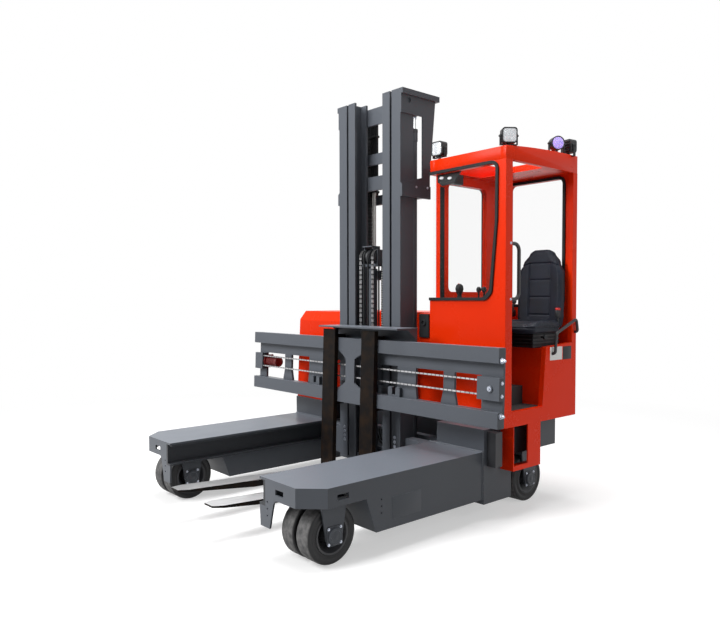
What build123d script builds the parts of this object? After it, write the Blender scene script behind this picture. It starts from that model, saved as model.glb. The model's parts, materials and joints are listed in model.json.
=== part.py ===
# Multidirectional reach truck: four steered wheel stations, two load legs, a mast that reaches
# out along the legs, a wide fork beam with a fork positioner, and an operator's cab at one side.
# Millimetres. +Z up, the forks point along -Y, the cab is at +X. Z = 0 is the floor.
# X = 0 is the middle of the fork beam and Y = 0 the middle of the whole length.
from build123d import *
import math
import os

# clearances
slideGap = 0.5          # between faces that slide on each other
shaftGap = 0.05         # radial, a shaft in its bush
seatGap = 0.3           # at rest, between a soft or round piece and its seat
runGap = 5.0            # between pieces that pass each other

chassisHalf = 1104.0    # half the width of the chassis

# load legs
legOuter = chassisHalf - 8.0
legWidth = 492.0
legInner = legOuter - legWidth
legTip = -1171.0
legTop = 485.0
legPlate = 14.0         # top plate
legSkirt = 12.0         # skirt plate under the rim
legSkirtLow = 369.0
legNoseX = legOuter - 126.0     # where the nose corner is cut
legNoseY = -1038.0
legBoxLow = 152.0       # deep box between wheel and chassis
legBoxFront = -746.0    # its front edge at the top, and at the bottom
legBoxFrontLow = -669.0
legBoxInner = legInner + 8.0
tabLow = 189.0          # tapered tab at the inner front corner
frontPlateInner = legInner + 41.0
tabHoleRadius = 6.0
tabHolePitch = 41.5
sideHoleY = -626.0

# reach rail, a channel along each leg, open towards the middle
railDepth = 60.0
railWall = 12.0
railLow = 318.0
railRear = 690.0

# chassis
chassisFront = 333.0
chassisLow = 117.0
chassisTop = 640.0
sideBoxRear = 642.0     # the deep side boxes end here, ahead of the rear wheels
deckLow = 424.0         # underside of the raised rear part
chassisRear = 1204.0
wellRear = 705.0        # back of the mast well
bellyLow = 160.0
wellHalf = legInner + railDepth
bellyHalf = wellHalf + 26.0

# wheels
tyreRadius = 178.0
rimRadius = 118.0
tyreShoulder = 14.0
frontWheelY = legTip + 236.0
frontWheelX = 0.5 * (wellHalf + legOuter) - 6.5
frontTyreWidth = 122.0
twinGap = 25.0
rearWheelY = 971.0
rearWheelX = chassisHalf - 168.0
rearTyreWidth = 160.0
yokePlate = 12.0
yokeSideGap = 6.0
yokeCrown = 29.0        # thickness of the plate over the tyre
tyreTopGap = 10.0
turretRadius = 95.0
axleRadius = 20.0
hubRadius = 50.0
rimWall = 12.0

# mast
mastFront = 251.0
mastDepth = 140.0
mastWall = 18.0
innerFlange = 82.0      # width of an inner upright's flanges
outerFlange = 96.0
stageGap = 21.0         # from an inner upright to an outer one's flanges
mastBottom = 215.0
mastBase = 20.0
mastTop = 3137.0
innerBottom = 240.0
earRear = 637.0
earFoot = 567.0
earLow = mastTop - 811.0
earWindowFront = mastTop - 709.0
earWindowRear = mastTop - 651.0
earWindowTop = mastTop - 182.0
earPlate = 10.0
earBar = 24.0
earBarHeight = 42.0
liftTubeInset = 50.0
liftTubeY = 441.0
liftTubeRadius = 31.0
liftTubeBore = 24.0
liftTubeTop = mastTop - 307.0
liftCollar = 35.0
liftRodRadius = 20.0
liftRodLow = 260.0
liftLugLow = mastTop - 173.0
liftLug = 46.0
crossBarPlate = 18.0
outerBars = ((640.0, 740.0), (1700.0, 1780.0), (mastTop - 487.0, mastTop - 397.0))

# free lift: one cylinder with a crosshead that carries the chains and hoses
freeX = -41.0
freeY = 335.0
freeTubeRadius = 38.0
freeTubeBore = 28.0
headLow = 1822.0
headTop = headLow + 149.0
freeTubeTop = headLow - 32.0
freeRodRadius = 24.0
freeRodLow = 300.0
chainMiddle = -39.0
chainSpread = 71.0      # from the middle of the pair to each chain
chainX = (chainMiddle - chainSpread, chainMiddle + chainSpread)
headCheek = 6.0         # cheek plates of the crosshead, and their gap to the sheaves
headCheekGap = 5.0
chainWidth = 24.0
chainThick = 10.0
sheaveRadius = 50.0
sheaveY = 320.0
sheaveZ = headLow + 63.0
hoseSheaveRadius = 52.0
hoseRadius = 7.0
hoseSpread = chainSpread - 47.0
hoseX = (freeX - hoseSpread, freeX + hoseSpread)
frontAnchorZ = 790.0
rearAnchorZ = 1000.0
rearChainLow = rearAnchorZ - 40.0
innerBars = ((rearAnchorZ - 60.0, rearAnchorZ), (mastTop - 704.0, mastTop - 591.0), (liftLugLow, mastTop - 37.0))

# lift carriage, and the mast's widths round it
carriagePlate = 16.0
chainSideGap = 18.0
carriageSideGap = 7.0
carriageHalf = 0.5 * chainWidth - chainX[0] + chainSideGap + carriagePlate
innerFlangeInner = carriageHalf + carriageSideGap
innerHalf = innerFlangeInner + innerFlange
outerFlangeInner = innerHalf + stageGap
outerHalf = outerFlangeInner + outerFlange
liftTubeX = outerHalf - liftTubeInset
carriageFront = 204.0
carriageUpperFront = 212.0   # set back, so that the forks' hooks pass at full back tilt
carriageStepZ = 900.0
carriageRear = 385.0
carriageLow = 760.0
carriageTop = 1310.0
capLeft = -352.0
capRight = 566.0
capFront = 20.0
capRear = 232.0
capLow = 1320.0
capPlate = 12.0
capGussetFront = 130.0

# fork beam, drawn upright and then leaned back about the tilt pin
restTilt = 1.8
tiltPinY = 178.0
tiltPinZ = 770.0
tiltPinRadius = 16.0
beamHalf = 1419.0
beamFront = 69.0
beamRailDepth = 60.0
beamBack = 20.0         # thickness of the back frame
upperRail = (1135.0, 1233.0)
lowerRail = (718.0, 822.0)
upperStripLow = 1046.0
centrePlate = (-171.0, 139.0)
centreNeck = (-81.0, 27.0)
neckZ = (883.0, 1072.0)
neckSlope = 60.0
chainRunZ = (925.0, 1017.0)
chainRunY = 86.0
boxZ = (894.0, 1042.0)      # the positioner's end boxes
boxInnerRight = beamHalf - 179.0
boxInnerLeft = 119.0 - beamHalf
bossX = beamHalf - 74.0
outerStrut = beamHalf - 414.0

# forks
forkWidth = 150.0
forkThick = 36.0
forkCentres = {"left": -252.0, "right": 219.0}
forkTop = 1300.0
heelTop = 174.0
tipTop = 204.0
heelThick = 40.0
tipThick = 12.0
tipY = -1290.6
tipWidth = 100.0
tipTaper = 70.0

# cab
cabInner = 512.0
cabOuter = chassisHalf + 110.0
cabFront = 419.0
cabRear = 1308.0
cabLow = 652.0
cabWall = 40.0
roofTop = 2588.0
roofLow = roofTop - 88.0
roofRise = 42.0         # the roof is higher at the rear by this
doorFront = 493.0
doorKnee = 866.0
doorSillFront = 907.0
doorRear = 1252.0
doorLow = 758.0
sillFront = 1192.0
sillRear = 1212.0
stepFloor = 757.0
floorTop = 891.0
stepFloorX = cabOuter - 204.0
platformTop = 1182.0
stepFront = 518.0        # the step box under the doorway
stepRear = 844.0
stepLow = 339.0
stepPlate = 8.0          # its upright plates
stepWall = 10.0          # its floor and outer wall
glassThick = 6.0
sealWidth = 22.0
sealDepth = 12.0

# hood over the power unit, around three sides of the mast well
hoodTop = 1436.0
hoodBase = 345.0        # front edge low down, then at the shoulder and at the top
hoodShoulder = (379.0, 1352.0)
hoodCrown = 409.0
hoodRear = 1250.0
hoodWall = 6.0
hoodWellLeft = -480.0
hoodWellRight = 400.0
hoodRight = 505.0
hoodCut = 50.0
coverSeam = 1.0


def prismX(outline, low, high):
    # a solid with a (y, z) outline between two x values
    face = make_face(Polyline(*[(low, y, z) for y, z in outline], close=True))
    return extrude(face, amount=high - low, dir=(1, 0, 0))


def prismY(outline, low, high):
    # a solid with an (x, z) outline between two y values
    face = make_face(Polyline(*[(x, low, z) for x, z in outline], close=True))
    return extrude(face, amount=high - low, dir=(0, 1, 0))


def prismZ(outline, low, high):
    # a solid with an (x, y) outline between two z values
    face = make_face(Polyline(*[(x, y, low) for x, y in outline], close=True))
    return extrude(face, amount=high - low, dir=(0, 0, 1))


def block(x, y, z):
    # a box from three (low, high) pairs
    size = [high - low for low, high in (x, y, z)]
    return Pos(x[0], y[0], z[0]) * Box(*size, align=(Align.MIN, Align.MIN, Align.MIN))


def rod(radius, start, direction, length):
    plane = Plane(origin=start, z_dir=direction)
    return plane * Cylinder(radius, length, align=(Align.CENTER, Align.CENTER, Align.MIN))


def ring(outer, inner, start, direction, length):
    return rod(outer, start, direction, length) - rod(inner, start, direction, length)


def tube(points, radius, bend):
    # a bent round bar through the points, with one bend radius
    path = FilletPolyline(*points, radius=bend)
    section = Plane(origin=path @ 0, z_dir=path % 0) * Circle(radius)
    return sweep(section, path=path)


def turned(outline, centre):
    # a (across, radius) outline turned about an axis along X through the centre
    x, y, z = centre
    face = make_face(Polyline(*[(x + across, y, z + radius) for across, radius in outline], close=True))
    return revolve(face, axis=Axis(centre, (1, 0, 0)))


def group(*solids):
    return Compound(children=list(solids))


def bothSides(shape):
    return {"right": shape, "left": mirror(shape, about=Plane.YZ)}


def lean(shape):
    # from the upright drawing of the fork beam to its parked position
    return shape.rotate(Axis((0, tiltPinY, tiltPinZ), (1, 0, 0)), -restTilt)


def chassis():
    sides = Part()
    for sign in (1, -1):
        side = prismX([(chassisFront, chassisLow), (sideBoxRear, chassisLow), (sideBoxRear, deckLow),
                       (chassisRear, deckLow), (chassisRear, chassisTop), (chassisFront, chassisTop)],
                      wellHalf, chassisHalf)
        sides += side if sign > 0 else mirror(side, about=Plane.YZ)
    belly = block((-bellyHalf, bellyHalf), (wellRear, chassisRear), (bellyLow, chassisTop))
    return sides + belly


def legRight():
    plate = prismZ([(legInner, legTip), (legNoseX, legTip), (legOuter, legNoseY),
                    (legOuter, chassisFront), (legInner, chassisFront)], legTop - legPlate, legTop)
    under = legTop - legPlate
    skirtEnd = legBoxFront + legSkirt
    diagonal = legSkirt * 0.42
    skirt = prismZ([(frontPlateInner, legTip), (legNoseX, legTip), (legOuter, legNoseY),
                    (legOuter, skirtEnd), (legOuter - legSkirt, skirtEnd),
                    (legOuter - legSkirt, legNoseY + diagonal),
                    (legNoseX - diagonal, legTip + legSkirt), (frontPlateInner, legTip + legSkirt)],
                   legSkirtLow, under)
    slotZ = (404.0, 437.0)
    skirt -= block((legInner + 167, legInner + 248), (legTip - 1, legTip + legSkirt + 1), slotZ)
    skirt -= block((legOuter - legSkirt - 1, legOuter + 1), (-968.0, -883.0), slotZ)
    tab = prismY([(frontPlateInner, legSkirtLow), (frontPlateInner, railLow + railWall),
                  (legInner, railLow + railWall), (legInner + 7, tabLow), (legInner + 105, tabLow),
                  (legInner + 147, 348.0), (legInner + 166, legSkirtLow)],
                 legTip, legTip + legSkirt)
    for step in range(3):
        start = (legInner + 83, legTip - 1, 263.0 + step * tabHolePitch)
        tab -= rod(tabHoleRadius, start, (0, 1, 0), legSkirt + 2)
    boxTurn = legSkirtLow - 8
    box = prismX([(legBoxFront, under), (legBoxFront, boxTurn), (legBoxFrontLow, legBoxLow),
                  (chassisFront, legBoxLow), (chassisFront, under)], wellHalf, legOuter)
    toe = legBoxFrontLow + (legBoxFront - legBoxFrontLow) * (railLow - legBoxLow) / (boxTurn - legBoxLow)
    box += prismX([(toe, railLow), (legBoxFrontLow, legBoxLow), (chassisFront, legBoxLow),
                   (chassisFront, railLow)], legBoxInner, wellHalf)
    for step in range(3):
        box -= rod(tabHoleRadius, (legOuter - 20, sideHoleY, 261.0 + step * tabHolePitch), (1, 0, 0), 21)
    rail = prismY([(legInner, under), (wellHalf, under), (wellHalf, railLow), (legInner, railLow),
                   (legInner, railLow + railWall), (wellHalf - railWall, railLow + railWall),
                   (wellHalf - railWall, under - railWall), (legInner, under - railWall)],
                  legTip + legSkirt, railRear)
    return plate + skirt + tab + box + rail


def hood():
    # three sheet covers round the mast well: the big one at the left, the rear one and the arm beside the cab
    split = wellRear + 12
    before, after = split - 0.5 * coverSeam, split + 0.5 * coverSeam

    def cornerCut(inset):
        edge = -chassisHalf
        low = hoodTop - 1.5 * hoodCut
        return prismY([(edge - 1, hoodTop + 1), (edge - 1, low), (edge + inset, low), (edge + hoodCut, hoodTop - inset),
                       (edge + hoodCut, hoodTop + 1)], hoodBase - 10, hoodRear + 10)

    def left(inset, end):
        top = hoodTop - inset
        body = prismX([(hoodBase + inset, chassisTop), (hoodShoulder[0] + inset, hoodShoulder[1]),
                       (hoodCrown + inset, top), (end, top), (end, chassisTop)],
                      -chassisHalf + inset, hoodWellLeft - inset)
        return body - cornerCut(inset)

    def rear(inset):
        body = block((-chassisHalf + inset, hoodRight - inset), (after + inset, hoodRear - inset),
                     (chassisTop, hoodTop - inset))
        return body - cornerCut(inset)

    def arm(inset, end):
        return block((hoodWellRight + inset, hoodRight - inset), (cabFront + 11 + inset, end),
                     (chassisTop, hoodTop - inset))

    # the rear cover is open towards the other two
    wall = hoodWall
    rearCover = rear(0.0) - rear(wall)
    for low, high in ((-chassisHalf + hoodCut, hoodWellLeft - wall), (hoodWellRight + wall, hoodRight - wall)):
        rearCover -= block((low, high), (after - 1, after + wall + 1), (chassisTop, hoodTop - wall))
    return group(left(0.0, before) - left(wall, before + 1), rearCover, arm(0.0, before) - arm(wall, before + 1))


def powerBlock():
    return block((94 - chassisHalf, hoodWellLeft - 80), (470.0, hoodRear - 90), (chassisTop, hoodTop - 146))


def socketPanel():
    front = cabFront + 11
    panel = block((hoodWellRight + 4, hoodRight - 2), (front - 16, front), (1250.0, 1430.0))
    collar = ring(24, 15, (452.0, front - 16, 1363.0), (0, -1, 0), 10)
    return panel + collar


def sideLocker():
    return block((chassisHalf, chassisHalf + 74), (chassisFront + 33, cabFront + 21), (383.0, chassisTop - 16))


def stepBox():
    outer = cabOuter
    plate, wall = stepPlate, stepWall
    front = block((chassisHalf, outer), (stepFront, stepFront + plate), (stepLow, cabLow))
    post = block((outer - wall, outer), (stepRear - 154, stepRear), (stepLow, cabLow))
    tread = block((chassisHalf, outer), (stepFront + plate, stepRear), (stepLow, stepLow + wall))
    lip = block((outer - wall, outer), (stepFront + plate, stepRear - 154), (stepLow + wall, stepLow + 35))
    back = block((chassisHalf, outer), (stepRear - plate, stepRear), (stepLow + wall, cabLow))
    return front + post + tread + lip + back


def windowCut(points, radius, low, high, across):
    shape = prismX(points, low, high) if across == "x" else prismY(points, low, high)
    edges = shape.edges().filter_by(Axis.X if across == "x" else Axis.Y)
    return fillet(edges, radius)


ceilingLow = roofLow - 106.0        # underside of the panel at the front of the ceiling
cornerGlassRear = 487.0     # the front window turns the cab's inner corner as glass up to here
windowLow = 1556.0
windowHigh = roofLow - 22.0
frontWindow = [(cabInner - 60, windowLow), (cabOuter - 184, windowLow), (cabOuter - 132, windowLow + 54),
               (cabOuter - 86, windowHigh - 402), (cabOuter - 82, windowHigh), (cabInner - 60, windowHigh)]
sideWindow = [(585.0, 1600.0), (1046.0, 1600.0), (1046.0, roofLow - 70), (585.0, roofLow - 70)]
rearWindow = [(cabInner + 108, 1500.0), (cabOuter - 96, 1500.0), (cabOuter - 96, roofLow - 30),
              (cabInner + 108, roofLow - 30)]
windowRadius = 40.0
skylight = ((cabInner + 88, cabOuter - 46), (cabFront + 53, 913.0))


def cabFrontPanel():
    panel = block((cabInner, cabOuter), (cabFront, cabFront + cabWall), (cabLow, roofLow))
    return panel - windowCut(frontWindow, windowRadius, cabFront - 1, cabFront + cabWall + 1, "y")


def cabInnerSide():
    panel = block((cabInner, cabInner + cabWall), (cabFront + cabWall, cabRear), (cabLow, roofLow))
    panel -= block((cabInner - 1, cabInner + cabWall + 1), (cabFront, cornerGlassRear), (windowLow, windowHigh))
    return panel - windowCut(sideWindow, windowRadius, cabInner - 1, cabInner + cabWall + 1, "x")


def cabRearPanel():
    panel = block((cabInner + cabWall, cabOuter - cabWall), (cabRear - cabWall, cabRear), (cabLow, roofLow))
    return panel - windowCut(rearWindow, windowRadius, cabRear - cabWall - 1, cabRear + 1, "y")


def cabDoorSide():
    return prismX([(cabFront + cabWall, cabLow), (cabRear, cabLow), (cabRear, roofLow), (doorRear, roofLow),
                   (doorRear, sillRear), (doorSillFront, sillFront), (doorKnee, doorLow), (doorFront, doorLow),
                   (doorFront, roofLow), (cabFront + cabWall, roofLow)], cabOuter - cabWall, cabOuter)


def cabRoof():
    middle = 0.5 * (cabFront + cabRear)
    crown = roofTop + 0.8 * roofRise
    top = ThreePointArc((cabInner, cabFront, roofTop), (cabInner, middle, crown),
                        (cabInner, cabRear, roofTop + roofRise))
    rest = Polyline((cabInner, cabRear, roofTop + roofRise), (cabInner, cabRear, roofLow),
                    (cabInner, cabFront, roofLow), (cabInner, cabFront, roofTop))
    slab = extrude(make_face([top, rest]), amount=cabOuter - cabInner, dir=(1, 0, 0))
    return slab - block(*skylight, (roofLow - 1, crown + 50))


def cabFloor():
    inner = cabInner + cabWall
    outer = cabOuter - cabWall
    return prismY([(inner, cabLow), (outer, cabLow), (outer, stepFloor), (stepFloorX, stepFloor),
                   (stepFloorX, floorTop), (inner, floorTop)], cabFront + cabWall, doorSillFront)


def seatPlatform():
    return block((cabInner + cabWall, cabOuter - cabWall), (doorSillFront, cabRear - cabWall),
                 (cabLow, platformTop))


def windowGlass():
    # a pane in the middle of each wall's window, the front one with its corner, and one over the roof opening
    inset = slideGap
    low, high = windowLow + seatGap, windowHigh - seatGap
    front = windowCut(frontWindow, windowRadius, cabFront + 17, cabFront + 17 + glassThick, "y")
    front -= block((cabInner - 100, cabInner + 17), (cabFront, cabFront + cabWall), (windowLow - 1, windowHigh + 1))
    front += block((cabInner + 17, cabInner + 17 + glassThick), (cabFront + 17, cornerGlassRear), (low, high))
    side = windowCut(sideWindow, windowRadius, cabInner + 17, cabInner + 17 + glassThick, "x")
    rear = windowCut(rearWindow, windowRadius, cabRear - 23, cabRear - 23 + glassThick, "y")
    x, y = skylight
    roof = block((x[0] + inset, x[1] - inset), (y[0] + inset, y[1] - inset), (roofLow, roofLow + glassThick))
    return group(front, side, rear, roof)


def windowSeals():
    def frame(points, face, across, sign):
        def grown(amount):
            midA = sum(p[0] for p in points) / len(points)
            midB = sum(p[1] for p in points) / len(points)
            return [(a + math.copysign(amount, a - midA), b + math.copysign(amount, b - midB))
                    for a, b in points]
        low, high = sorted((face, face + sign * sealDepth))
        outer = windowCut(grown(sealWidth), windowRadius + sealWidth, low, high, across)
        return outer - windowCut(points, windowRadius, low - 1, high + 1, across)
    front = frame(frontWindow, cabFront, "y", -1)
    front -= block((cabInner - 200, cabInner), (cabFront - 50, cabFront + 50), (windowLow - 100, windowHigh + 100))
    inner = cabInner + cabWall
    post = block((inner, inner + 6), (cornerGlassRear, cornerGlassRear + 44), (windowLow, ceilingLow))
    side = frame(sideWindow, cabInner, "x", -1)
    return group(front, post, side, frame(rearWindow, cabRear - cabWall, "y", -1))


seatX = (cabOuter - 446, cabOuter - 46)
seatMiddle = 0.5 * (seatX[0] + seatX[1]) + 12
seatLow = platformTop + 106.0


def seatBase():
    # a suspension under folded bellows
    middle = seatMiddle
    body = block((middle - 150, middle + 150), (860.0, 1170.0), (platformTop, seatLow))
    for fold in range(4):
        z = platformTop + 4 + 26 * fold
        body += block((middle - 164, middle + 164), (846.0, 1184.0), (z, z + 14))
    return body


def seatCushion():
    low = seatLow + seatGap
    cushion = prismX([(800.0, low), (1150.0, low), (1150.0, seatLow + 84), (1120.0, seatLow + 104),
                      (840.0, seatLow + 104), (806.0, seatLow + 94), (788.0, seatLow + 64)],
                     seatX[0], seatX[1] + 14)
    return fillet(cushion.edges().filter_by(Axis.Z), 8)


def seatBack():
    middle = seatMiddle - 2
    # half width, height above the cushion's underside
    half = ((150.0, 12.0), (200.0, 52.0), (211.0, 126.0), (209.0, 452.0), (172.0, 538.0), (109.0, 632.0),
            (58.0, 654.0))
    outline = [(middle + w, seatLow + z) for w, z in half]
    outline += [(middle - w, seatLow + z) for w, z in reversed(half)]
    low = 1150.0 + seatGap
    back = prismY(outline, low, low + 66)
    return back.rotate(Axis((0, low, seatLow + 12), (1, 0, 0)), -2.5)


def cabBars():
    # the grab bar beside the doorway, and the hip guard beside the seat
    x = cabOuter - 0.5 * cabWall
    grab = tube([(x, doorFront, 1543.0), (x, 597.0, 1543.0), (x, 597.0, 1929.0), (x, doorFront, 1929.0)],
                13.0, 50.0)
    x = cabOuter + 26.0
    hip = tube([(cabOuter, 985.0, 1140.0), (x, 985.0, 1140.0), (x, 1002.0, 1290.0), (x, 1268.0, 1392.0),
                (x, 1288.0, 1292.0), (cabOuter, 1288.0, 1292.0)], 11.0, 20.0)
    return group(grab, hip)


deskTop = 1540.0            # the desk's upper edge at the front wall, and its edge towards the seat
deskRear = 650.0


def console():
    # the desk under the window, with a joystick and two levers
    front = cabFront + cabWall
    right = cabOuter - 254
    desk = prismX([(front, floorTop), (deskRear - 30, floorTop), (deskRear, deskTop - 160),
                   (deskRear - 90, deskTop - 40), (front, deskTop)], cabInner + cabWall, right)
    knobs = Part()
    # x, y, bottom, top, stem radius, knob radius
    for x, y, low, high, stem, knob in ((cabInner + 189, deskRear - 110, deskTop - 50, deskTop + 60, 18.0, 44.0),
                                        (right - 80, deskRear - 90, deskTop - 60, deskTop + 70, 8.0, 18.0),
                                        (right - 30, deskRear - 90, deskTop - 60, deskTop + 70, 8.0, 18.0)):
        knobs += rod(stem, (x, y, low), (0, 0, 1), high - low)
        knobs += rod(knob, (x, y, high), (0, 0, 1), 32.0)
    return desk + knobs


def ceilingPanel():
    inner = cabInner + cabWall
    front = cabFront + cabWall
    panel = prismY([(inner, roofLow), (791.0, roofLow), (714.0, ceilingLow + 7), (596.0, ceilingLow),
                    (inner, ceilingLow + 31)], front, skylight[1][0])
    return panel + block((inner, skylight[0][0]), (skylight[1][0], 700.0), (ceilingLow + 31, roofLow))


lampTable = (
    # x, y, middle above the roof's front edge, size, round, turned from straight ahead
    (cabInner + 66, cabFront + 33, 80.0, 106.0, False, 0.0),
    (cabOuter - 42, cabFront + 81, 80.0, 106.0, False, 52.0),
    (cabOuter - 56, cabRear - 203, 118.0, 104.0, True, 58.0),
    (cabOuter - 38, cabRear - 68, 112.0, 100.0, False, 172.0),
)
lampDepth = 56.0
lensDepth = 8.0


def lampBodies():
    bodies = []
    front = -0.5 * lampDepth
    roof = cabRoof()
    for x, y, height, size, isRound, turn in lampTable:
        half = 0.5 * size
        z = roofTop + height
        if isRound:
            body = rod(half, (0, front, 0), (0, 1, 0), lampDepth) + rod(half - 16, (0, -front, 0), (0, 1, 0), 18)
        else:
            body = block((-half, half), (front, -front), (-half, half))
            body = fillet(body.edges().filter_by(Axis.Y), 20)
            for fin in range(4):
                low = -half + 14 + 22 * fin
                body += block((-half + 16, half - 16), (-front, -front + 10), (low, low + 6))
        fraction = (y - cabFront) / (cabRear - cabFront)
        deck = roofTop + roofRise * fraction - 30 - z
        body += rod(12, (0, 0, deck), (0, 0, 1), -deck)
        bodies.append(Pos(x, y, z) * Rot(0, 0, turn) * body - roof)
    return group(*bodies)


def lampLenses():
    lenses = []
    front = -0.5 * lampDepth
    for x, y, height, size, isRound, turn in lampTable:
        half = 0.5 * size - 8
        z = roofTop + height
        if isRound:
            lens = rod(half, (0, front, 0), (0, -1, 0), lensDepth)
        else:
            lens = block((-half, half), (front - lensDepth, front), (-half, half))
            lens = fillet(lens.edges().filter_by(Axis.Y), 14)
        lenses.append(Pos(x, y, z) * Rot(0, 0, turn) * lens)
    return group(*lenses)


def reachCarriage():
    plateInner = legInner - 44.0
    plateOuter = legInner - 14.0
    body = Part()
    for sign in (1, -1):
        side = block((plateInner, plateOuter), (300.0, 660.0), (230.0, 470.0))
        side += block((outerHalf, plateInner), (300.0, 391.0), (230.0, 470.0))
        rollerRadius = 61.0
        axleZ = railLow + railWall + seatGap + rollerRadius
        for y in (400.0, 610.0):
            side += rod(24.0, (plateOuter, y, axleZ), (1, 0, 0), 14.0)
            side += rod(rollerRadius, (legInner, y, axleZ), (1, 0, 0), railDepth - railWall - runGap)
        body += side if sign > 0 else mirror(side, about=Plane.YZ)
    return body + block((-plateInner, plateInner), (500.0, 560.0), (230.0, 470.0))


def channel(flangeInner, outer, low, high):
    # one mast upright, a channel open towards the middle
    rear = mastFront + mastDepth
    wall = mastWall
    return prismZ([(flangeInner, mastFront), (outer, mastFront), (outer, rear), (flangeInner, rear),
                   (flangeInner, rear - wall), (outer - wall, rear - wall), (outer - wall, mastFront + wall),
                   (flangeInner, mastFront + wall)], low, high)


def outerMast():
    return group(*bothSides(channel(outerFlangeInner, outerHalf, mastBottom + mastBase, mastTop)).values())


def outerMastFrame():
    # the base plate, the bars behind the uprights and the head frame with its side plates
    rear = mastFront + mastDepth
    base = (mastBottom, mastBottom + mastBase)
    solids = [block((-outerHalf, outerHalf), (mastFront, liftTubeY + liftTubeRadius), base)]
    armOut = liftTubeX - liftTubeRadius - 2
    back = liftTubeY
    for low, high in outerBars:
        bar = block((-armOut, armOut), (back - crossBarPlate, back), (low, high))
        for sign in (1, -1):
            inner, outer = sorted((sign * outerFlangeInner, sign * armOut))
            bar += block((inner, outer), (rear, back), (low, high))
        solids.append(bar)
    plate = prismX([(mastFront, mastTop), (earRear, mastTop), (earRear - 12, mastTop - 60),
                    (earFoot, earWindowRear + 9), (earFoot, earLow), (mastFront, earLow)],
                   outerHalf, outerHalf + earPlate)
    plate -= prismX([(mastFront - 1, earWindowTop), (482.0, earWindowTop), (482.0, earWindowRear),
                     (mastFront - 1, earWindowFront)], outerHalf - 1, outerHalf + earPlate + 1)
    plate -= rod(20, (outerHalf - 1, 335.0, mastTop - 80), (1, 0, 0), earPlate + 2)
    plate += block((outerHalf, outerHalf + earBar), (mastFront, earRear + 24), (mastTop - earBarHeight, mastTop))
    plate += prismX([(mastFront, earWindowFront - 10), (earFoot, earWindowFront - 5), (earFoot, earLow),
                     (mastFront, earLow)],
                    outerHalf, outerHalf + earBar - 6)
    head = block((-outerHalf, outerHalf), (earFoot - 30, earFoot), (earLow + 14, earLow + 94))
    head += block((-outerHalf, outerHalf), (earRear - 12, earRear + 24), (mastTop - earBarHeight, mastTop))
    for side in bothSides(plate).values():
        head += side
    return group(*solids, head)


def liftTubes():
    tubes = []
    for x in (-liftTubeX, liftTubeX):
        low = mastBottom + mastBase
        body = rod(liftTubeRadius, (x, liftTubeY, low), (0, 0, 1), liftTubeTop - low)
        body -= rod(liftTubeBore, (x, liftTubeY, low + 15), (0, 0, 1), liftTubeTop - low)
        gland = ring(liftTubeBore, liftRodRadius + slideGap, (x, liftTubeY, liftTubeTop - 60), (0, 0, 1), 60)
        collar = ring(liftCollar, liftTubeRadius, (x, liftTubeY, liftTubeTop - 60), (0, 0, 1), 60)
        tubes.append(body + gland + collar)
    return group(*tubes)


def innerMast():
    upright = channel(innerFlangeInner, innerHalf, innerBottom, mastTop)
    rollerRadius = 0.5 * mastDepth - mastWall - 1
    upright += rod(rollerRadius, (innerHalf, mastFront + 0.5 * mastDepth, 360.0), (1, 0, 0),
                   outerHalf - mastWall - innerHalf - runGap)
    return group(*bothSides(upright).values())


def innerMastBars():
    # bars behind the uprights: the lowest, the chains' anchor, and two at the top, with lugs on the lift rods
    rear = mastFront + mastDepth
    bars = []
    for low, high in ((innerBottom, innerBottom + 90), *innerBars):
        bars.append(block((-innerHalf, innerHalf), (rear, rear + 20), (low, high)))
    for x in (*chainX, *hoseX):
        half = 0.5 * chainWidth + 2
        front = sheaveY + sheaveRadius + (6 if x in hoseX else -6)
        bars[1] += block((x - half, x + half), (front, rear), (rearAnchorZ - 60, rearChainLow - seatGap))
    base = (innerBottom, innerBottom + 18)
    web = innerHalf - mastWall
    bars[0] += block((-web, web), (mastFront + mastWall, rear - mastWall), base)
    bars[0] += block((-innerFlangeInner, innerFlangeInner), (rear - mastWall, rear), base)
    lugOut = outerHalf - mastWall - 4
    lug = block((innerHalf - 1, lugOut), (rear + runGap, rear + 20), (liftLugLow, liftLugLow + liftLug))
    lug += block((liftTubeX - 24, lugOut), (rear + 20, liftTubeY + 24), (liftLugLow, liftLugLow + 26))
    for side in bothSides(lug).values():
        bars[3] += side
    return group(*bars)


def liftRods():
    rods = []
    for x in (-liftTubeX, liftTubeX):
        rods.append(rod(liftRodRadius, (x, liftTubeY, liftRodLow), (0, 0, 1), liftLugLow - liftRodLow))
    return group(*rods)


def freeTube():
    low = innerBottom + 18
    body = rod(freeTubeRadius, (freeX, freeY, low), (0, 0, 1), freeTubeTop - low)
    body -= rod(freeTubeBore, (freeX, freeY, low + 20), (0, 0, 1), freeTubeTop - low)
    return body + ring(freeTubeBore, freeRodRadius + slideGap, (freeX, freeY, freeTubeTop - 60), (0, 0, 1), 60)


def crosshead():
    stem = rod(freeRodRadius, (freeX, freeY, freeRodLow), (0, 0, 1), headLow - freeRodLow)
    reach = 0.5 * chainWidth + headCheekGap
    left = chainX[0] - reach - headCheek
    right = chainX[1] + reach + headCheek
    head = block((left, right), (300.0, 364.0), (headLow - 14, headLow + 6))
    for x in (left, chainX[0] + reach, chainX[1] - reach - headCheek, right - headCheek):
        head += block((x, x + headCheek), (300.0, 364.0), (headLow, headTop - 30))
    head += block((chainX[0] + reach, chainX[1] - reach), (270.0, 364.0), (headTop - 8, headTop))
    for x in (chainX[0] + reach, chainX[1] - reach - headCheek):
        head += block((x, x + headCheek), (290.0, 364.0), (headTop - 31, headTop - 7))
    head += rod(10, (left, sheaveY, sheaveZ), (1, 0, 0), right - left)
    return stem + head


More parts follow.
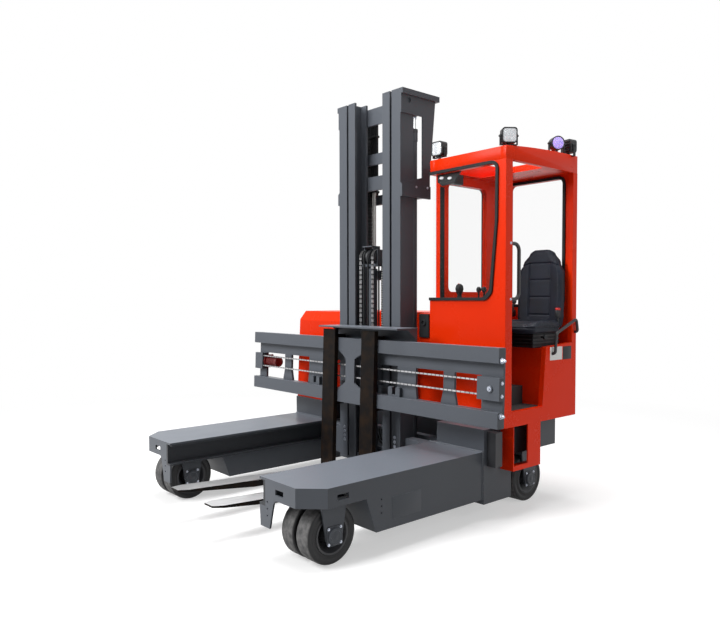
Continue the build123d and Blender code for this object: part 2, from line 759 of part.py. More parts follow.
def sheaves():
    # two chain sheaves and the hose sheave between them, each with what is wound over its top
    middle = (sheaveY, sheaveZ)
    wheels = []
    # left edge, width, radius, radius over what is wound on it
    half, top = 0.5 * chainWidth, sheaveRadius + chainThick
    for left, width, radius, over in ((chainX[0] - half, chainWidth, sheaveRadius, top),
                                      (chainX[1] - half, chainWidth, sheaveRadius, top),
                                      (hoseX[0] - 14, hoseX[1] - hoseX[0] + 28, hoseSheaveRadius, 0.0)):
        wheel = rod(radius, (left, *middle), (1, 0, 0), width)
        if over:
            wheel += wound(left, width, radius - 1, over)
        else:
            for x in hoseX:
                wheel += wound(x - hoseRadius, 2 * hoseRadius, radius - 1, radius + 2 * hoseRadius)
        wheels.append(wheel - rod(10 + shaftGap, (left - 1, *middle), (1, 0, 0), width + 2))
    return group(*wheels)


def wound(left, width, inner, outer):
    # the half turn of a chain or hose over its sheave
    turn = ring(outer, inner, (left, sheaveY, sheaveZ), (1, 0, 0), width)
    return turn - block((left - 1, left + width + 1), (sheaveY - outer - 1, sheaveY + outer + 1),
                        (sheaveZ - outer - 1, sheaveZ))


def strands(sign, low):
    # chains and hoses that hang from their sheaves, in front (-1) or behind (1)
    top = sheaveZ - seatGap
    runs = []
    for x in chainX:
        y = sorted((sheaveY + sign * (sheaveRadius + slideGap), sheaveY + sign * (sheaveRadius + chainThick)))
        runs.append(block((x - 0.5 * chainWidth, x + 0.5 * chainWidth), y, (low, top)))
    y = sheaveY + sign * (hoseSheaveRadius + hoseRadius)
    for x in hoseX:
        runs.append(rod(hoseRadius, (x, y, low), (0, 0, 1), top - low))
    return group(*runs)


def liftCarriage():
    body = Part()
    for sign in (1, -1):
        side = prismX([(carriageFront, carriageLow), (carriageRear - 15, carriageLow),
                       (carriageRear - 15, carriageTop), (carriageUpperFront, carriageTop),
                       (carriageUpperFront, carriageStepZ),
                       (carriageFront, carriageStepZ)], carriageHalf - carriagePlate, carriageHalf)
        rollerRadius = 0.5 * mastDepth - mastWall - 1
        for z in (carriageLow + 60, carriageTop - 60):
            side += rod(rollerRadius, (carriageHalf, mastFront + 0.5 * mastDepth, z), (1, 0, 0),
                        innerHalf - mastWall - carriageHalf - runGap)
        body += side if sign > 0 else mirror(side, about=Plane.YZ)
    front = carriageFront
    upper = carriageUpperFront
    body += block((-300.0, 300.0), (front, front + 20), (carriageLow, carriageLow + 110))
    body += block((capLeft + 6, capRight - 6), (upper, upper + 20), (carriageTop - 100, capLow))
    body += block((capLeft, capRight), (capFront, capRear), (capLow, capLow + capPlate))
    # left edge, depth: the left one is shallow, so that the left fork's hook passes under it
    for x, depth in ((capLeft + 6, 45.0), (capRight - 16, 82.0)):
        body += prismX([(capGussetFront, capLow), (capRear, capLow), (capRear, capLow - depth)], x, x + 10)
    across = (chainX[0] - 14, chainX[1] + 14)
    body += block(across, (front + 20, sheaveY - sheaveRadius), (carriageLow, frontAnchorZ))
    # lugs for the tilt pin
    for x in (-190.0, -110.0, 90.0, 170.0):
        lug = block((x, x + 20), (tiltPinY, front), (tiltPinZ - 22, tiltPinZ + 22))
        lug += rod(22, (x, tiltPinY, tiltPinZ), (1, 0, 0), 20)
        body += lug
    for x in (-190.0, 90.0):
        body += rod(tiltPinRadius, (x, tiltPinY, tiltPinZ), (1, 0, 0), 100)
    return body


def strut(left, right, flare):
    # a strut of the back frame, wider where it meets the lower rail
    low, high = lowerRail[1], upperStripLow
    return prismY([(left - flare, low), (right + flare, low), (right, low + 90), (right, high), (left, high),
                   (left, low + 90)], beamFront + beamRailDepth, beamFront + beamRailDepth + beamBack)


def beamRails():
    # the two rails that the forks hang on, each with its backing strip
    back = beamFront + beamRailDepth
    end = beamHalf - 8
    upper = block((-beamHalf, beamHalf), (beamFront, back), upperRail)
    upper += block((-end, end), (back, back + beamBack), (upperStripLow, upperRail[1]))
    lower = block((-beamHalf, beamHalf), (beamFront, back), lowerRail)
    lower += block((-end, end), (back, back + beamBack), lowerRail)
    return group(lean(upper), lean(lower))


def forkBeam():
    # struts between the rails, the middle plate with its waist, and the lugs on the tilt pins
    back = beamFront + beamRailDepth
    end = beamHalf - 8
    solids = []
    # left edge, right edge, flare
    for left, right, flare in ((452.0, 640.0, 12.0), (outerStrut - 100, outerStrut, 22.0),
                               (boxInnerRight, end, 0.0), (-640.0, -452.0, 12.0),
                               (-outerStrut, 100 - outerStrut, 22.0), (-end, boxInnerLeft, 0.0)):
        solids.append(strut(left, right, flare))
    wide, neck = centrePlate, centreNeck
    low, high = lowerRail[1], upperRail[0]
    middle = prismY([(wide[0], low), (wide[1], low), (wide[1], neckZ[0] - neckSlope), (neck[1], neckZ[0]),
                     (neck[1], neckZ[1]), (wide[1], neckZ[1] + neckSlope), (wide[1], high), (wide[0], high),
                     (wide[0], neckZ[1] + neckSlope), (neck[0], neckZ[1]), (neck[0], neckZ[0]),
                     (wide[0], neckZ[0] - neckSlope)], beamFront, beamFront + 12)
    solids += [middle, block((-150.0, 150.0), (back, back + beamBack), (low, upperStripLow))]
    for x in (-165.0, 115.0):
        lug = block((x, x + 50), (back + beamBack, tiltPinY), (tiltPinZ - 20, tiltPinZ + 20))
        lug += rod(20, (x, tiltPinY, tiltPinZ), (1, 0, 0), 50)
        solids.append(lug - rod(tiltPinRadius + shaftGap, (x - 1, tiltPinY, tiltPinZ), (1, 0, 0), 52))
    # staple-shaped chain guards on the lower rail
    for x in (444.0, -518.0):
        guard = block((x - 62, x + 62), (back - 30, back), (low, low + 72))
        guard -= block((x - 18, x + 18), (back - 31, back + 1), (low + 14, low + 73))
        solids.append(fillet(guard.edges().filter_by(Axis.Y).filter_by(lambda e: e.center().Z > low + 60), 17))
    return group(*[lean(solid) for solid in solids])


def positioner():
    back = beamFront + beamRailDepth
    middle = 0.5 * (boxZ[0] + boxZ[1])
    right = block((boxInnerRight, beamHalf), (beamFront + 10, back), boxZ)
    right += ring(24, 14, (bossX, beamFront + 10, middle), (0, -1, 0), 8)
    left = block((-beamHalf, boxInnerLeft), (beamFront + 10, back), boxZ)
    motor = rod(44, (boxInnerLeft, beamFront + 82, middle - 2), (1, 0, 0), 165)
    return lean(group(right, left + motor))


def positionerChains():
    runs = []
    for z in chainRunZ:
        runs.append(block((boxInnerLeft, boxInnerRight), (chainRunY, chainRunY + 9), (z - 6, z + 6)))
    return group(*[lean(run) for run in runs])


def fork(centre):
    rear = beamFront - slideGap
    front = rear - forkThick
    half = 0.5 * forkWidth
    side = [(rear, forkTop), (front, forkTop), (front, heelTop), (tipY, tipTop), (tipY, tipTop - tipThick),
            (-700.0, heelTop - heelThick + 8), (front - 30, heelTop - heelThick),
            (rear - 20, heelTop - heelThick + 4), (rear, heelTop - heelThick + 24)]
    body = prismX(side, centre - half, centre + half)
    for sign in (1, -1):
        nose = prismZ([(centre + sign * half, tipY + tipTaper), (centre + sign * 0.5 * tipWidth, tipY - 1),
                       (centre + sign * (half + 1), tipY - 1), (centre + sign * (half + 1), tipY + tipTaper)],
                      100, 300)
        body -= nose
    back = beamFront + beamRailDepth + beamBack
    hookHalf = 55.0
    top = upperRail[1] + slideGap
    hook = block((centre - hookHalf, centre + hookHalf), (rear, back + 12), (top, top + 26))
    hook += block((centre - hookHalf, centre + hookHalf), (back + slideGap, back + 12), (top - 36, top))
    low = lowerRail[0] - slideGap
    claw = block((centre - hookHalf, centre + hookHalf), (rear, back + 12), (low - 24, low))
    claw += block((centre - hookHalf, centre + hookHalf), (back + slideGap, back + 12), (low, low + 30))
    anchor = block((centre - 50, centre + 50), (rear, chainRunY - 2), (915.0, 1030.0))
    return lean(body + hook + claw + anchor)


def yoke(x, y, width, top):
    # a turret, a crown plate over the tyre and two tapered side plates that hold the axle
    crown = 2 * tyreRadius + tyreTopGap
    half = 0.5 * width + yokeSideGap
    body = rod(turretRadius, (x, y, crown + yokeCrown), (0, 0, 1), top - seatGap - crown - yokeCrown)
    body += block((x - half - yokePlate, x + half + yokePlate), (y - 95, y + 95), (crown, crown + yokeCrown))
    for sign in (1, -1):
        low, high = sorted((x + sign * half, x + sign * (half + yokePlate)))
        plate = prismX([(y - 95, crown), (y - 62, tyreRadius), (y + 62, tyreRadius), (y + 95, crown)], low, high)
        plate += rod(62, (low, y, tyreRadius), (1, 0, 0), yokePlate)
        body += plate
    return body + rod(axleRadius, (x - half, y, tyreRadius), (1, 0, 0), 2 * half)


def wheelHub(x, y, width):
    # a dished wheel: rim, cone and boss in one outline, bored for its axle
    half = 0.5 * width
    bore = axleRadius + shaftGap
    waist = (0.22 * width, hubRadius + 8)
    outline = [(-half, bore), (half, bore), (half, hubRadius), waist, (half, rimRadius - rimWall),
               (half, rimRadius), (-half, rimRadius), (-half, rimRadius - rimWall), (-waist[0], waist[1]),
               (-half, hubRadius)]
    return turned(outline, (x, y, tyreRadius))


def tyre(x, y, width):
    half = 0.5 * width
    shoulder = tyreRadius - tyreShoulder
    outline = [(-half, rimRadius), (half, rimRadius), (half, shoulder), (half - tyreShoulder, tyreRadius),
               (tyreShoulder - half, tyreRadius), (-half, shoulder)]
    return turned(outline, (x, y, tyreRadius))


def frontTyres(x):
    shift = 0.5 * (frontTyreWidth + twinGap)
    return group(*[tyre(x + sign * shift, frontWheelY, frontTyreWidth) for sign in (1, -1)])


def build():
    nodes = {
        "chassis": chassis(), "hood": hood(), "power_block": powerBlock(), "socket_panel": socketPanel(),
        "side_locker": sideLocker(), "step_box": stepBox(), "cab_front_panel": cabFrontPanel(),
        "cab_inner_side": cabInnerSide(), "cab_rear_panel": cabRearPanel(), "cab_door_side": cabDoorSide(),
        "cab_roof": cabRoof(), "cab_floor": cabFloor(), "seat_platform": seatPlatform(),
        "window_glass": windowGlass(), "window_seals": windowSeals(), "seat_base": seatBase(),
        "seat_cushion": seatCushion(), "seat_back": seatBack(), "cab_bars": cabBars(),
        "console": console(), "ceiling_panel": ceilingPanel(), "lamp_bodies": lampBodies(),
        "lamp_lenses": lampLenses(), "reach_carriage": reachCarriage(), "outer_mast": outerMast(),
        "outer_mast_frame": outerMastFrame(), "lift_tubes": liftTubes(), "inner_mast": innerMast(),
        "inner_mast_bars": innerMastBars(), "lift_rods": liftRods(), "free_tube": freeTube(),
        "crosshead": crosshead(), "sheaves": sheaves(), "strands_front": strands(-1, frontAnchorZ + seatGap),
        "strands_rear": strands(1, rearChainLow), "lift_carriage": liftCarriage(),
        "beam_rails": beamRails(), "fork_beam": forkBeam(), "positioner": positioner(),
        "positioner_chains": positionerChains(),
    }
    twinWidth = 2 * frontTyreWidth + twinGap
    nodes.update({f"leg_{side}": leg for side, leg in bothSides(legRight()).items()})
    for side, sign in (("right", 1), ("left", -1)):
        nodes[f"fork_{side}"] = fork(forkCentres[side])
        nodes[f"front_yoke_{side}"] = yoke(sign * frontWheelX, frontWheelY, twinWidth, legTop - legPlate)
        nodes[f"front_hub_{side}"] = wheelHub(sign * frontWheelX, frontWheelY, twinWidth)
        nodes[f"front_tyres_{side}"] = frontTyres(sign * frontWheelX)
        nodes[f"rear_yoke_{side}"] = yoke(sign * rearWheelX, rearWheelY, rearTyreWidth, deckLow)
        nodes[f"rear_hub_{side}"] = wheelHub(sign * rearWheelX, rearWheelY, rearTyreWidth)
        nodes[f"rear_tyre_{side}"] = tyre(sign * rearWheelX, rearWheelY, rearTyreWidth)
    return nodes


os.makedirs("parts", exist_ok=True)
for name, shape in build().items():
    export_step(shape, f"parts/{name}.step")
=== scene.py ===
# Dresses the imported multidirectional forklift: finishes, tyres, seat, chains, small fittings, studio.
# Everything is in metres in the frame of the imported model: forks along -Y, cab at +X, floor at Z = 0.
import json
import math
import bmesh
import bpy
from mathutils import Matrix, Vector


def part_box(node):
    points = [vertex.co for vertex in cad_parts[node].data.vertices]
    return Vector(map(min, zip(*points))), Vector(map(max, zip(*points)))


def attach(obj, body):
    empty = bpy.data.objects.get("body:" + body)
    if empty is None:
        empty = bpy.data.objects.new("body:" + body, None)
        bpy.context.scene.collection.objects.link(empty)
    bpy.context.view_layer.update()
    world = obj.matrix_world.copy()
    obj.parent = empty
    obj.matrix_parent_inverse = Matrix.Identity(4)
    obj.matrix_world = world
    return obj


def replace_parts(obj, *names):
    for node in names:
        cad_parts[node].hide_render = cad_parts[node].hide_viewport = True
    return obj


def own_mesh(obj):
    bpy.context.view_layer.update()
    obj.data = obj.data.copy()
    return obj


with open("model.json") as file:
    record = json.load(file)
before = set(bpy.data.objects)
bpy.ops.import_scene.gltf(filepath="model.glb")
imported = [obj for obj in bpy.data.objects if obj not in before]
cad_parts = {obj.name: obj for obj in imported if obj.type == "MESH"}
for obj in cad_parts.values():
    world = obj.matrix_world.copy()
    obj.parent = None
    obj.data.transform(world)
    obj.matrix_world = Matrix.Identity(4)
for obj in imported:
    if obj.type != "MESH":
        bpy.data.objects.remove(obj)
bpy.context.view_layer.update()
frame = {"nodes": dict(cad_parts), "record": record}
nodes = frame["nodes"]
print("frame loaded:", len(nodes), "nodes")

# camera and studio

cameraSettings = {"place": (4.0446, -3.3685, 1.5506), "azimuth": 48.9, "pitch": -2.0, "roll": -0.1,
                  "lens": 33.85}


def makeCamera(settings):
    data = bpy.data.cameras.new("camera")
    data.sensor_width, data.lens = 36.0, settings["lens"]
    data.clip_start, data.clip_end = 0.05, 100.0
    camera = bpy.data.objects.new("camera", data)
    bpy.context.scene.collection.objects.link(camera)
    turn = Matrix.Rotation(math.radians(settings["azimuth"]), 4, "Z")
    tip = Matrix.Rotation(math.radians(90.0 + settings["pitch"]), 4, "X")
    roll = Matrix.Rotation(math.radians(settings["roll"]), 4, "Z")
    camera.matrix_world = Matrix.Translation(settings["place"]) @ turn @ tip @ roll
    bpy.context.scene.camera = camera


makeCamera(cameraSettings)


# finishes: shader maths as Python expressions

class Value:
    # one number socket of a finish, with the arithmetic that the finishes use
    def __init__(self, finish, socket):
        self.finish, self.socket = finish, socket

    def maths(self, operation, first, second=0.0):
        return self.finish.number("Math", {"operation": operation}, {0: first, 1: second})

    def __add__(self, other): return self.maths("ADD", self, other)
    def __radd__(self, other): return self.maths("ADD", other, self)
    def __sub__(self, other): return self.maths("SUBTRACT", self, other)
    def __rsub__(self, other): return self.maths("SUBTRACT", other, self)
    def __mul__(self, other): return self.maths("MULTIPLY", self, other)
    def __rmul__(self, other): return self.maths("MULTIPLY", other, self)
    def __gt__(self, other): return self.maths("GREATER_THAN", self, other)
    def __lt__(self, other): return self.maths("LESS_THAN", self, other)
    def __abs__(self): return self.maths("ABSOLUTE", self)
    def sine(self): return self.maths("SINE", self)


def feed(tree, value, socket):
    # a link where the value comes from a node, and a plain colour gets its alpha
    value = value.socket if isinstance(value, Value) else value
    if isinstance(value, bpy.types.NodeSocket):
        tree.links.new(value, socket)
    elif socket.type == "RGBA" and len(value) == 3:
        socket.default_value = (*value, 1.0)
    else:
        socket.default_value = value


def addNode(tree, kind, settings, sockets):
    made = tree.nodes.new("ShaderNode" + kind)
    for name, value in settings.items():
        setattr(made, name, value)
    for name, value in sockets.items():
        feed(tree, value, made.inputs[name])
    return made


class Finish:
    # a node material round one Principled shader; colours are linear
    def __init__(self, name, **surface):
        self.material = bpy.data.materials.new(name)
        self.material.use_nodes = True
        self.tree = self.material.node_tree
        self.shader = self.tree.nodes["Principled BSDF"]
        for socket, value in surface.items():
            self.set(socket, value)
        self.place = self.node("TexCoord", {}, {}).outputs["Object"]

    def node(self, kind, settings, sockets):
        return addNode(self.tree, kind, settings, sockets)

    def number(self, kind, settings, sockets, output=0):
        return Value(self, self.node(kind, settings, sockets).outputs[output])

    def set(self, socket, value):
        # baseColor names the socket Base Color
        name = "".join(" " + c if c.isupper() else c for c in socket)
        name = name[0].upper() + name[1:].replace("I O R", "IOR")
        feed(self.tree, value, self.shader.inputs[name])

    def noise(self, scale, detail=3.0, stretch=None):
        place = self.place
        if stretch:
            place = self.node("VectorMath", {"operation": "MULTIPLY"}, {0: place, 1: stretch}).outputs[0]
        return self.number("TexNoise", {}, {"Vector": place, "Scale": scale, "Detail": detail})

    def axis(self, source, index):
        return self.number("SeparateXYZ", {}, {0: source}, index)

    def facing(self, index):
        # how far the surface faces along an axis
        return self.axis(self.node("NewGeometry", {}, {}).outputs["Normal"], index)

    def mix(self, mask, low, high):
        return self.node("Mix", {"data_type": "RGBA"}, {0: mask, 6: low, 7: high}).outputs[2]

    def ramp(self, value, low, high):
        # 0 below low, 1 above high
        return self.number("MapRange", {"clamp": True}, {"Value": value, "From Min": low, "From Max": high})

    def relief(self, height, strength, distance, softEdge=0.0):
        sockets = {"Height": height, "Strength": strength, "Distance": distance}
        if softEdge:
            sockets["Normal"] = self.bevel(softEdge)
        self.set("normal", self.node("Bump", {}, sockets).outputs[0])

    def bevel(self, radius):
        return self.node("Bevel", {"samples": 4}, {"Radius": radius}).outputs[0]

    def edge(self, radius):
        # 1 near a convex or concave edge, 0 on flats
        true = self.node("NewGeometry", {}, {}).outputs["Normal"]
        dot = self.node("VectorMath", {"operation": "DOT_PRODUCT"}, {0: self.bevel(radius), 1: true})
        return 1.0 - self.ramp(Value(self, dot.outputs["Value"]), 0.90, 0.995)


def paint(name, colour, dirt, roughness, gloss, softEdge, chip, shade=None, dustAndPaintedLight=False):
    # smooth paint with orange peel, faint dust and slightly worn edges; shade darkens a place,
    # and the last option makes the tops paler, with dust and painted light from above,
    # and the sides facing along X darker with painted shade
    made = Finish(name, metallic=0.0, specularIORLevel=gloss)
    cloud = made.noise(2.3, 4.0)
    fine = made.noise(60.0, 2.0)
    worn = made.edge(softEdge * 1.5) * made.ramp(made.noise(23.0, 5.0), 0.52, 0.62) * chip
    base = made.mix(made.ramp(cloud, 0.42, 0.72) * 0.35, colour, dirt)
    if dustAndPaintedLight:
        # painted shade on the sides that face along X, and paler tops for dust and painted light from above
        paintedSideShade, up = made.ramp(abs(made.facing(0)), 0.6, 0.9), made.ramp(made.facing(2), 0.7, 0.95)
        base = made.mix(paintedSideShade, base, tuple(0.55 * c for c in colour))
        base = made.mix(up, base, tuple(1.3 * c for c in colour))
    if shade:
        base = made.mix(shade(made), base, tuple(0.28 * c for c in colour))
    made.set("baseColor", made.mix(worn, base, tuple(min(1.0, 1.6 * c + 0.04) for c in colour)))
    made.set("roughness", made.ramp(cloud, 0.3, 0.8) * 0.1 + roughness + fine * 0.04)
    made.relief(made.noise(420.0, 1.0), 0.05, 0.0004, softEdge)
    return made


def darkRailTracks(made):
    # the roller tracks inside the legs, where the paint is made darker
    x, y, z = (made.axis(made.place, index) for index in range(3))
    return (abs(x) > 0.6035) * (abs(x) < 0.6645) * (z < 0.4715) * (z > 0.316)


def metal(name, colour, roughness, stretch, softEdge=0.001):
    made = Finish(name, metallic=1.0)
    grain = made.noise(1.0, 3.0, stretch)
    stain = made.noise(9.0, 4.0)
    made.set("baseColor", made.mix(made.ramp(stain, 0.45, 0.75), colour, tuple(0.62 * c for c in colour)))
    made.set("roughness", grain * 0.16 + roughness)
    made.relief(grain, 0.15, 0.0004, softEdge)
    return made


finishes = {}
orange, orangeDust = (0.80, 0.030, 0.002), (0.70, 0.026, 0.003)
steelGrey, steelDust = (0.096, 0.106, 0.124), (0.080, 0.087, 0.100)
# name, colour, dust, roughness, gloss, soft edge, worn edges, then a place to shade and whether it
# has dust with painted light on top and painted shade on its sides
paints = {
    "body_paint": ("orange gloss paint", orange, orangeDust, 0.22, 0.10, 0.003, 0.2),
    # the anthracite steel gets painted shade on its sides and dust with painted light on its tops
    "steel_paint": ("anthracite paint", steelGrey, steelDust, 0.30, 0.22, 0.0022, 0.45, darkRailTracks, True),
    "black_metal": ("black satin paint", (0.014, 0.014, 0.016), (0.022, 0.021, 0.021),
                    0.38, 0.4, 0.0015, 0.2),
    "rim_paint": ("dark wheel paint", (0.024, 0.025, 0.029), (0.034, 0.033, 0.032), 0.42, 0.4, 0.0015, 0.3),
    "dark_red": ("dark red paint", (0.13, 0.008, 0.007), (0.09, 0.008, 0.007), 0.35, 0.4, 0.0015, 0.3),
    "buckle_red": ("red buckle", (0.62, 0.02, 0.012), (0.5, 0.02, 0.012), 0.35, 0.4, 0.001, 0.0),
    "display": ("dark display", (0.010, 0.014, 0.018), (0.010, 0.014, 0.018), 0.08, 0.6, 0.0005, 0.0),
    "plate_white": ("white plate", (0.80, 0.80, 0.78), (0.66, 0.66, 0.63), 0.4, 0.4, 0.0008, 0.0),
}
for slot, look in paints.items():
    finishes[slot] = paint(*look)
finishes["chrome_rod"] = metal("ground chrome", (0.78, 0.79, 0.81), 0.07, (4.0, 4.0, 300.0))
finishes["bright_steel"] = metal("oiled steel", (0.34, 0.33, 0.32), 0.32, (90.0, 90.0, 90.0))
finishes["dark_steel"] = metal("oily chain steel", (0.11, 0.11, 0.11), 0.40, (260.0, 260.0, 260.0), 0.0008)
finishes["link_steel"] = metal("chain plates", (0.52, 0.52, 0.53), 0.30, (260.0, 260.0, 260.0), 0.0008)
finishes["zinc_bolt"] = metal("zinc bolts", (0.50, 0.53, 0.60), 0.30, (300.0, 300.0, 300.0), 0.0008)


def forkSteel():
    # dark forged steel, scraped bright on the blades' tops
    made = Finish("fork steel", specularIORLevel=0.08)
    low = made.ramp(made.axis(made.place, 2), 0.275, 0.262)
    up = made.ramp(made.facing(2), 0.80, 0.92)
    ragged = made.ramp(made.noise(7.0, 5.0, (1.0, 0.25, 1.0)), 0.30, 0.42)
    bare = low * up * ragged
    scale = made.noise(14.0, 5.0)
    dark = made.mix(made.ramp(scale, 0.4, 0.7), (0.005, 0.004, 0.004), (0.016, 0.009, 0.005))
    scratch = made.noise(1.0, 2.0, (220.0, 5.0, 5.0))
    bright = made.mix(made.ramp(scratch, 0.35, 0.7), (0.72, 0.72, 0.73), (0.92, 0.92, 0.93))
    made.set("baseColor", made.mix(bare, dark, bright))
    made.set("metallic", bare * 0.9)
    made.set("roughness", 0.46 - bare * 0.16 + scale * 0.1)
    made.relief(scale, 0.12, 0.001, 0.002)
    return made


def blackPlastic():
    made = Finish("moulded black plastic", baseColor=(0.011, 0.012, 0.014), specularIORLevel=0.3)
    made.set("roughness", made.noise(12.0, 3.0) * 0.15 + 0.42)
    made.relief(made.number("TexVoronoi", {}, {"Vector": made.place, "Scale": 520.0}), 0.25, 0.0003, 0.002)
    return made


def sealRubber():
    made = Finish("window rubber", baseColor=(0.007, 0.008, 0.009), specularIORLevel=0.25)
    made.set("roughness", made.noise(20.0, 3.0) * 0.2 + 0.5)
    made.relief(made.noise(300.0, 2.0), 0.1, 0.0003, 0.004)
    return made


def tyreRubber():
    # black sides, a greyer rolling face with fine scuffs
    made = Finish("solid tyre rubber", specularIORLevel=0.25)
    tread = made.ramp(abs(made.facing(0)), 0.75, 0.35)
    scuff = made.noise(30.0, 6.0)
    dust = made.mix(made.ramp(scuff, 0.35, 0.7), (0.080, 0.080, 0.081), (0.185, 0.181, 0.180))
    made.set("baseColor", made.mix(tread, (0.017, 0.017, 0.018), dust))
    made.set("roughness", tread * 0.25 + made.noise(16.0, 3.0) * 0.15 + 0.42)
    made.relief(scuff, 0.25, 0.0012, 0.003)
    return made


def floorMat():
    made = Finish("ribbed floor mat", baseColor=(0.020, 0.020, 0.021))
    rib = (made.axis(made.place, 0) * 380.0).sine()
    made.set("roughness", made.noise(30.0, 3.0) * 0.2 + 0.55)
    made.relief(rib * 0.5 + 0.5, 0.6, 0.0015)
    return made


def glass():
    made = Finish("clear safety glass", baseColor=(0.08, 0.10, 0.10), alpha=0.02, specularIORLevel=0.3)
    made.set("roughness", made.noise(3.0, 3.0) * 0.04 + 0.01)
    made.material.surface_render_method = "BLENDED"
    return made


def lampGlass():
    # clear fluted covers over the lamps
    made = Finish("lamp covers", alpha=0.30, baseColor=(0.80, 0.82, 0.84), coatWeight=0.3)
    x, y, z = (made.axis(made.place, index) for index in range(3))
    flute = (((x + y) * 900.0).sine() * (z * 900.0).sine()) * 0.5 + 0.5
    made.set("roughness", flute * 0.1 + 0.08)
    made.relief(flute, 0.4, 0.0008)
    made.material.surface_render_method = "BLENDED"
    return made


def lampBowl(name, colour, glow):
    # the bright bowl behind a lamp's cover
    made = Finish(name, metallic=0.55, emissionStrength=glow)
    facet = made.number("TexVoronoi", {}, {"Vector": made.place, "Scale": 130.0})
    made.set("baseColor", made.mix(facet, colour, tuple(0.6 * c for c in colour)))
    made.set("emissionColor", made.mix(facet, colour, tuple(0.5 * c for c in colour)))
    made.set("roughness", facet * 0.15 + 0.2)
    made.relief(facet, 0.3, 0.001)
    return made


def rearStrands():
    # the chains behind the sheaves have plates across them, and the two hoses are black
    made = Finish("rear chains and hoses")
    x, z = (made.axis(made.place, index) for index in (0, 2))
    hose = abs(x + 0.041) < 0.036
    plates = made.ramp((z * (2.0 * math.pi / 0.01905)).sine(), -0.2, 0.2)
    steel = made.mix(plates, (0.05, 0.05, 0.05), (0.42, 0.41, 0.40))
    made.set("baseColor", made.mix(hose, steel, (0.015, 0.015, 0.016)))
    made.set("metallic", (1.0 - hose) * 0.9)
    made.set("roughness", hose * 0.2 + 0.32)
    made.relief(plates, 0.6, 0.002)
    return made


def seatCover():
    # blue-black seat cloth with a fine weave
    made = Finish("seat cover", sheenWeight=0.03, sheenRoughness=0.4, specularIORLevel=0.25)
    x, y, z = (made.axis(made.place, index) for index in range(3))
    weave = (x * 2600.0).sine() * ((y + z) * 2600.0).sine()
    cloud = made.noise(7.0, 4.0)
    tone = made.ramp(cloud, 0.35, 0.75)
    made.set("baseColor", made.mix(tone, (0.003, 0.005, 0.010), (0.008, 0.012, 0.024)))
    made.set("roughness", cloud * 0.15 + 0.48)
    made.relief(weave * 0.3 + made.noise(260.0, 3.0), 0.35, 0.0006)
    return made


finishes["fork_steel"] = forkSteel()
finishes["black_plastic"] = blackPlastic()
finishes["seal_rubber"] = sealRubber()
finishes["tyre"] = tyreRubber()
finishes["floor_mat"] = floorMat()
finishes["glass"] = glass()
finishes["lamp_glass"] = lampGlass()
finishes["seat_cover"] = seatCover()
finishes["white_bowl"] = lampBowl("clear lamp bowl", (0.80, 0.82, 0.85), 0.25)
finishes["violet_bowl"] = lampBowl("violet lamp bowl", (0.26, 0.12, 0.80), 0.8)
finishes["rear_strands"] = rearStrands()

# nodes whose finish is finer than their slot's
nodeFinish = {"strands_rear": "rear_strands", "side_locker": "rim_paint"}
for row in frame["record"]["subparts"]:
    node = nodes[row["node"]]
    node.data.materials.clear()
    node.data.materials.append(finishes[nodeFinish.get(row["node"], row["material_slot"])].material)
print("finishes made:", len(finishes))

# studio

studio = {
    "floor": 60.0, "floorForLight": 0.36, "floorSeen": 0.62, "floorGlow": 0.46, "fadeFrom": 3.0,
    "fadeTo": 6.5, "skyForLight": 0.22,
    # name, place, aim, size, power
    "lamps": (("key", (-1.6, -6.4, 5.4), (0.0, 0.0, 1.2), 3.5, 560.0),
              ("side", (7.0, 1.2, 3.2), (0.8, 0.4, 1.3), 3.0, 95.0),
              ("top", (0.2, 0.2, 7.0), (0.0, 0.0, 0.0), 4.0, 560.0)),
}


def whiteToViewer(tree, soft, white):
    # the soft shader lights the object, and the white one is what camera, gloss and glass see
    path = addNode(tree, "LightPath", {}, {})
    seen = path.outputs["Is Camera Ray"]
    for kind in ("Is Glossy Ray", "Is Transmission Ray"):
        seen = addNode(tree, "Math", {"operation": "MAXIMUM"}, {0: seen, 1: path.outputs[kind]}).outputs[0]
    return addNode(tree, "MixShader", {}, {0: seen, 1: soft, 2: white}).outputs[0]


def makeFloor(settings):
    mesh = bpy.data.meshes.new("floor")
    half = 0.5 * settings["floor"]
    corners = [(-half, -half, 0.0), (half, -half, 0.0), (half, half, 0.0), (-half, half, 0.0)]
    mesh.from_pydata(corners, [], [(0, 1, 2, 3)])
    floor = bpy.data.objects.new("studio_floor", mesh)
    bpy.context.scene.collection.objects.link(floor)
    material = bpy.data.materials.new("pale floor")
    material.use_nodes = True
    tree = material.node_tree
    tree.nodes.remove(tree.nodes["Principled BSDF"])
    forLight, seen = (3 * (settings[name],) for name in ("floorForLight", "floorSeen"))
    soft = addNode(tree, "BsdfDiffuse", {}, {"Color": forLight}).outputs[0]
    lit = addNode(tree, "BsdfDiffuse", {}, {"Color": seen}).outputs[0]
    glow = addNode(tree, "Emission", {}, {"Strength": settings["floorGlow"]}).outputs[0]
    near = addNode(tree, "AddShader", {}, {0: lit, 1: glow}).outputs[0]
    # far from the object the floor fades into the white background
    place = addNode(tree, "TexCoord", {}, {}).outputs["Object"]
    away = addNode(tree, "VectorMath", {"operation": "LENGTH"}, {0: place}).outputs["Value"]
    fade = addNode(tree, "MapRange", {}, {"Value": away, "From Min": settings["fadeFrom"],
                                          "From Max": settings["fadeTo"]}).outputs[0]
    white = addNode(tree, "Emission", {}, {"Strength": 1.0}).outputs[0]
    pale = addNode(tree, "MixShader", {}, {0: fade, 1: near, 2: white}).outputs[0]
    tree.links.new(whiteToViewer(tree, soft, pale), tree.nodes["Material Output"].inputs["Surface"])
    mesh.materials.append(material)


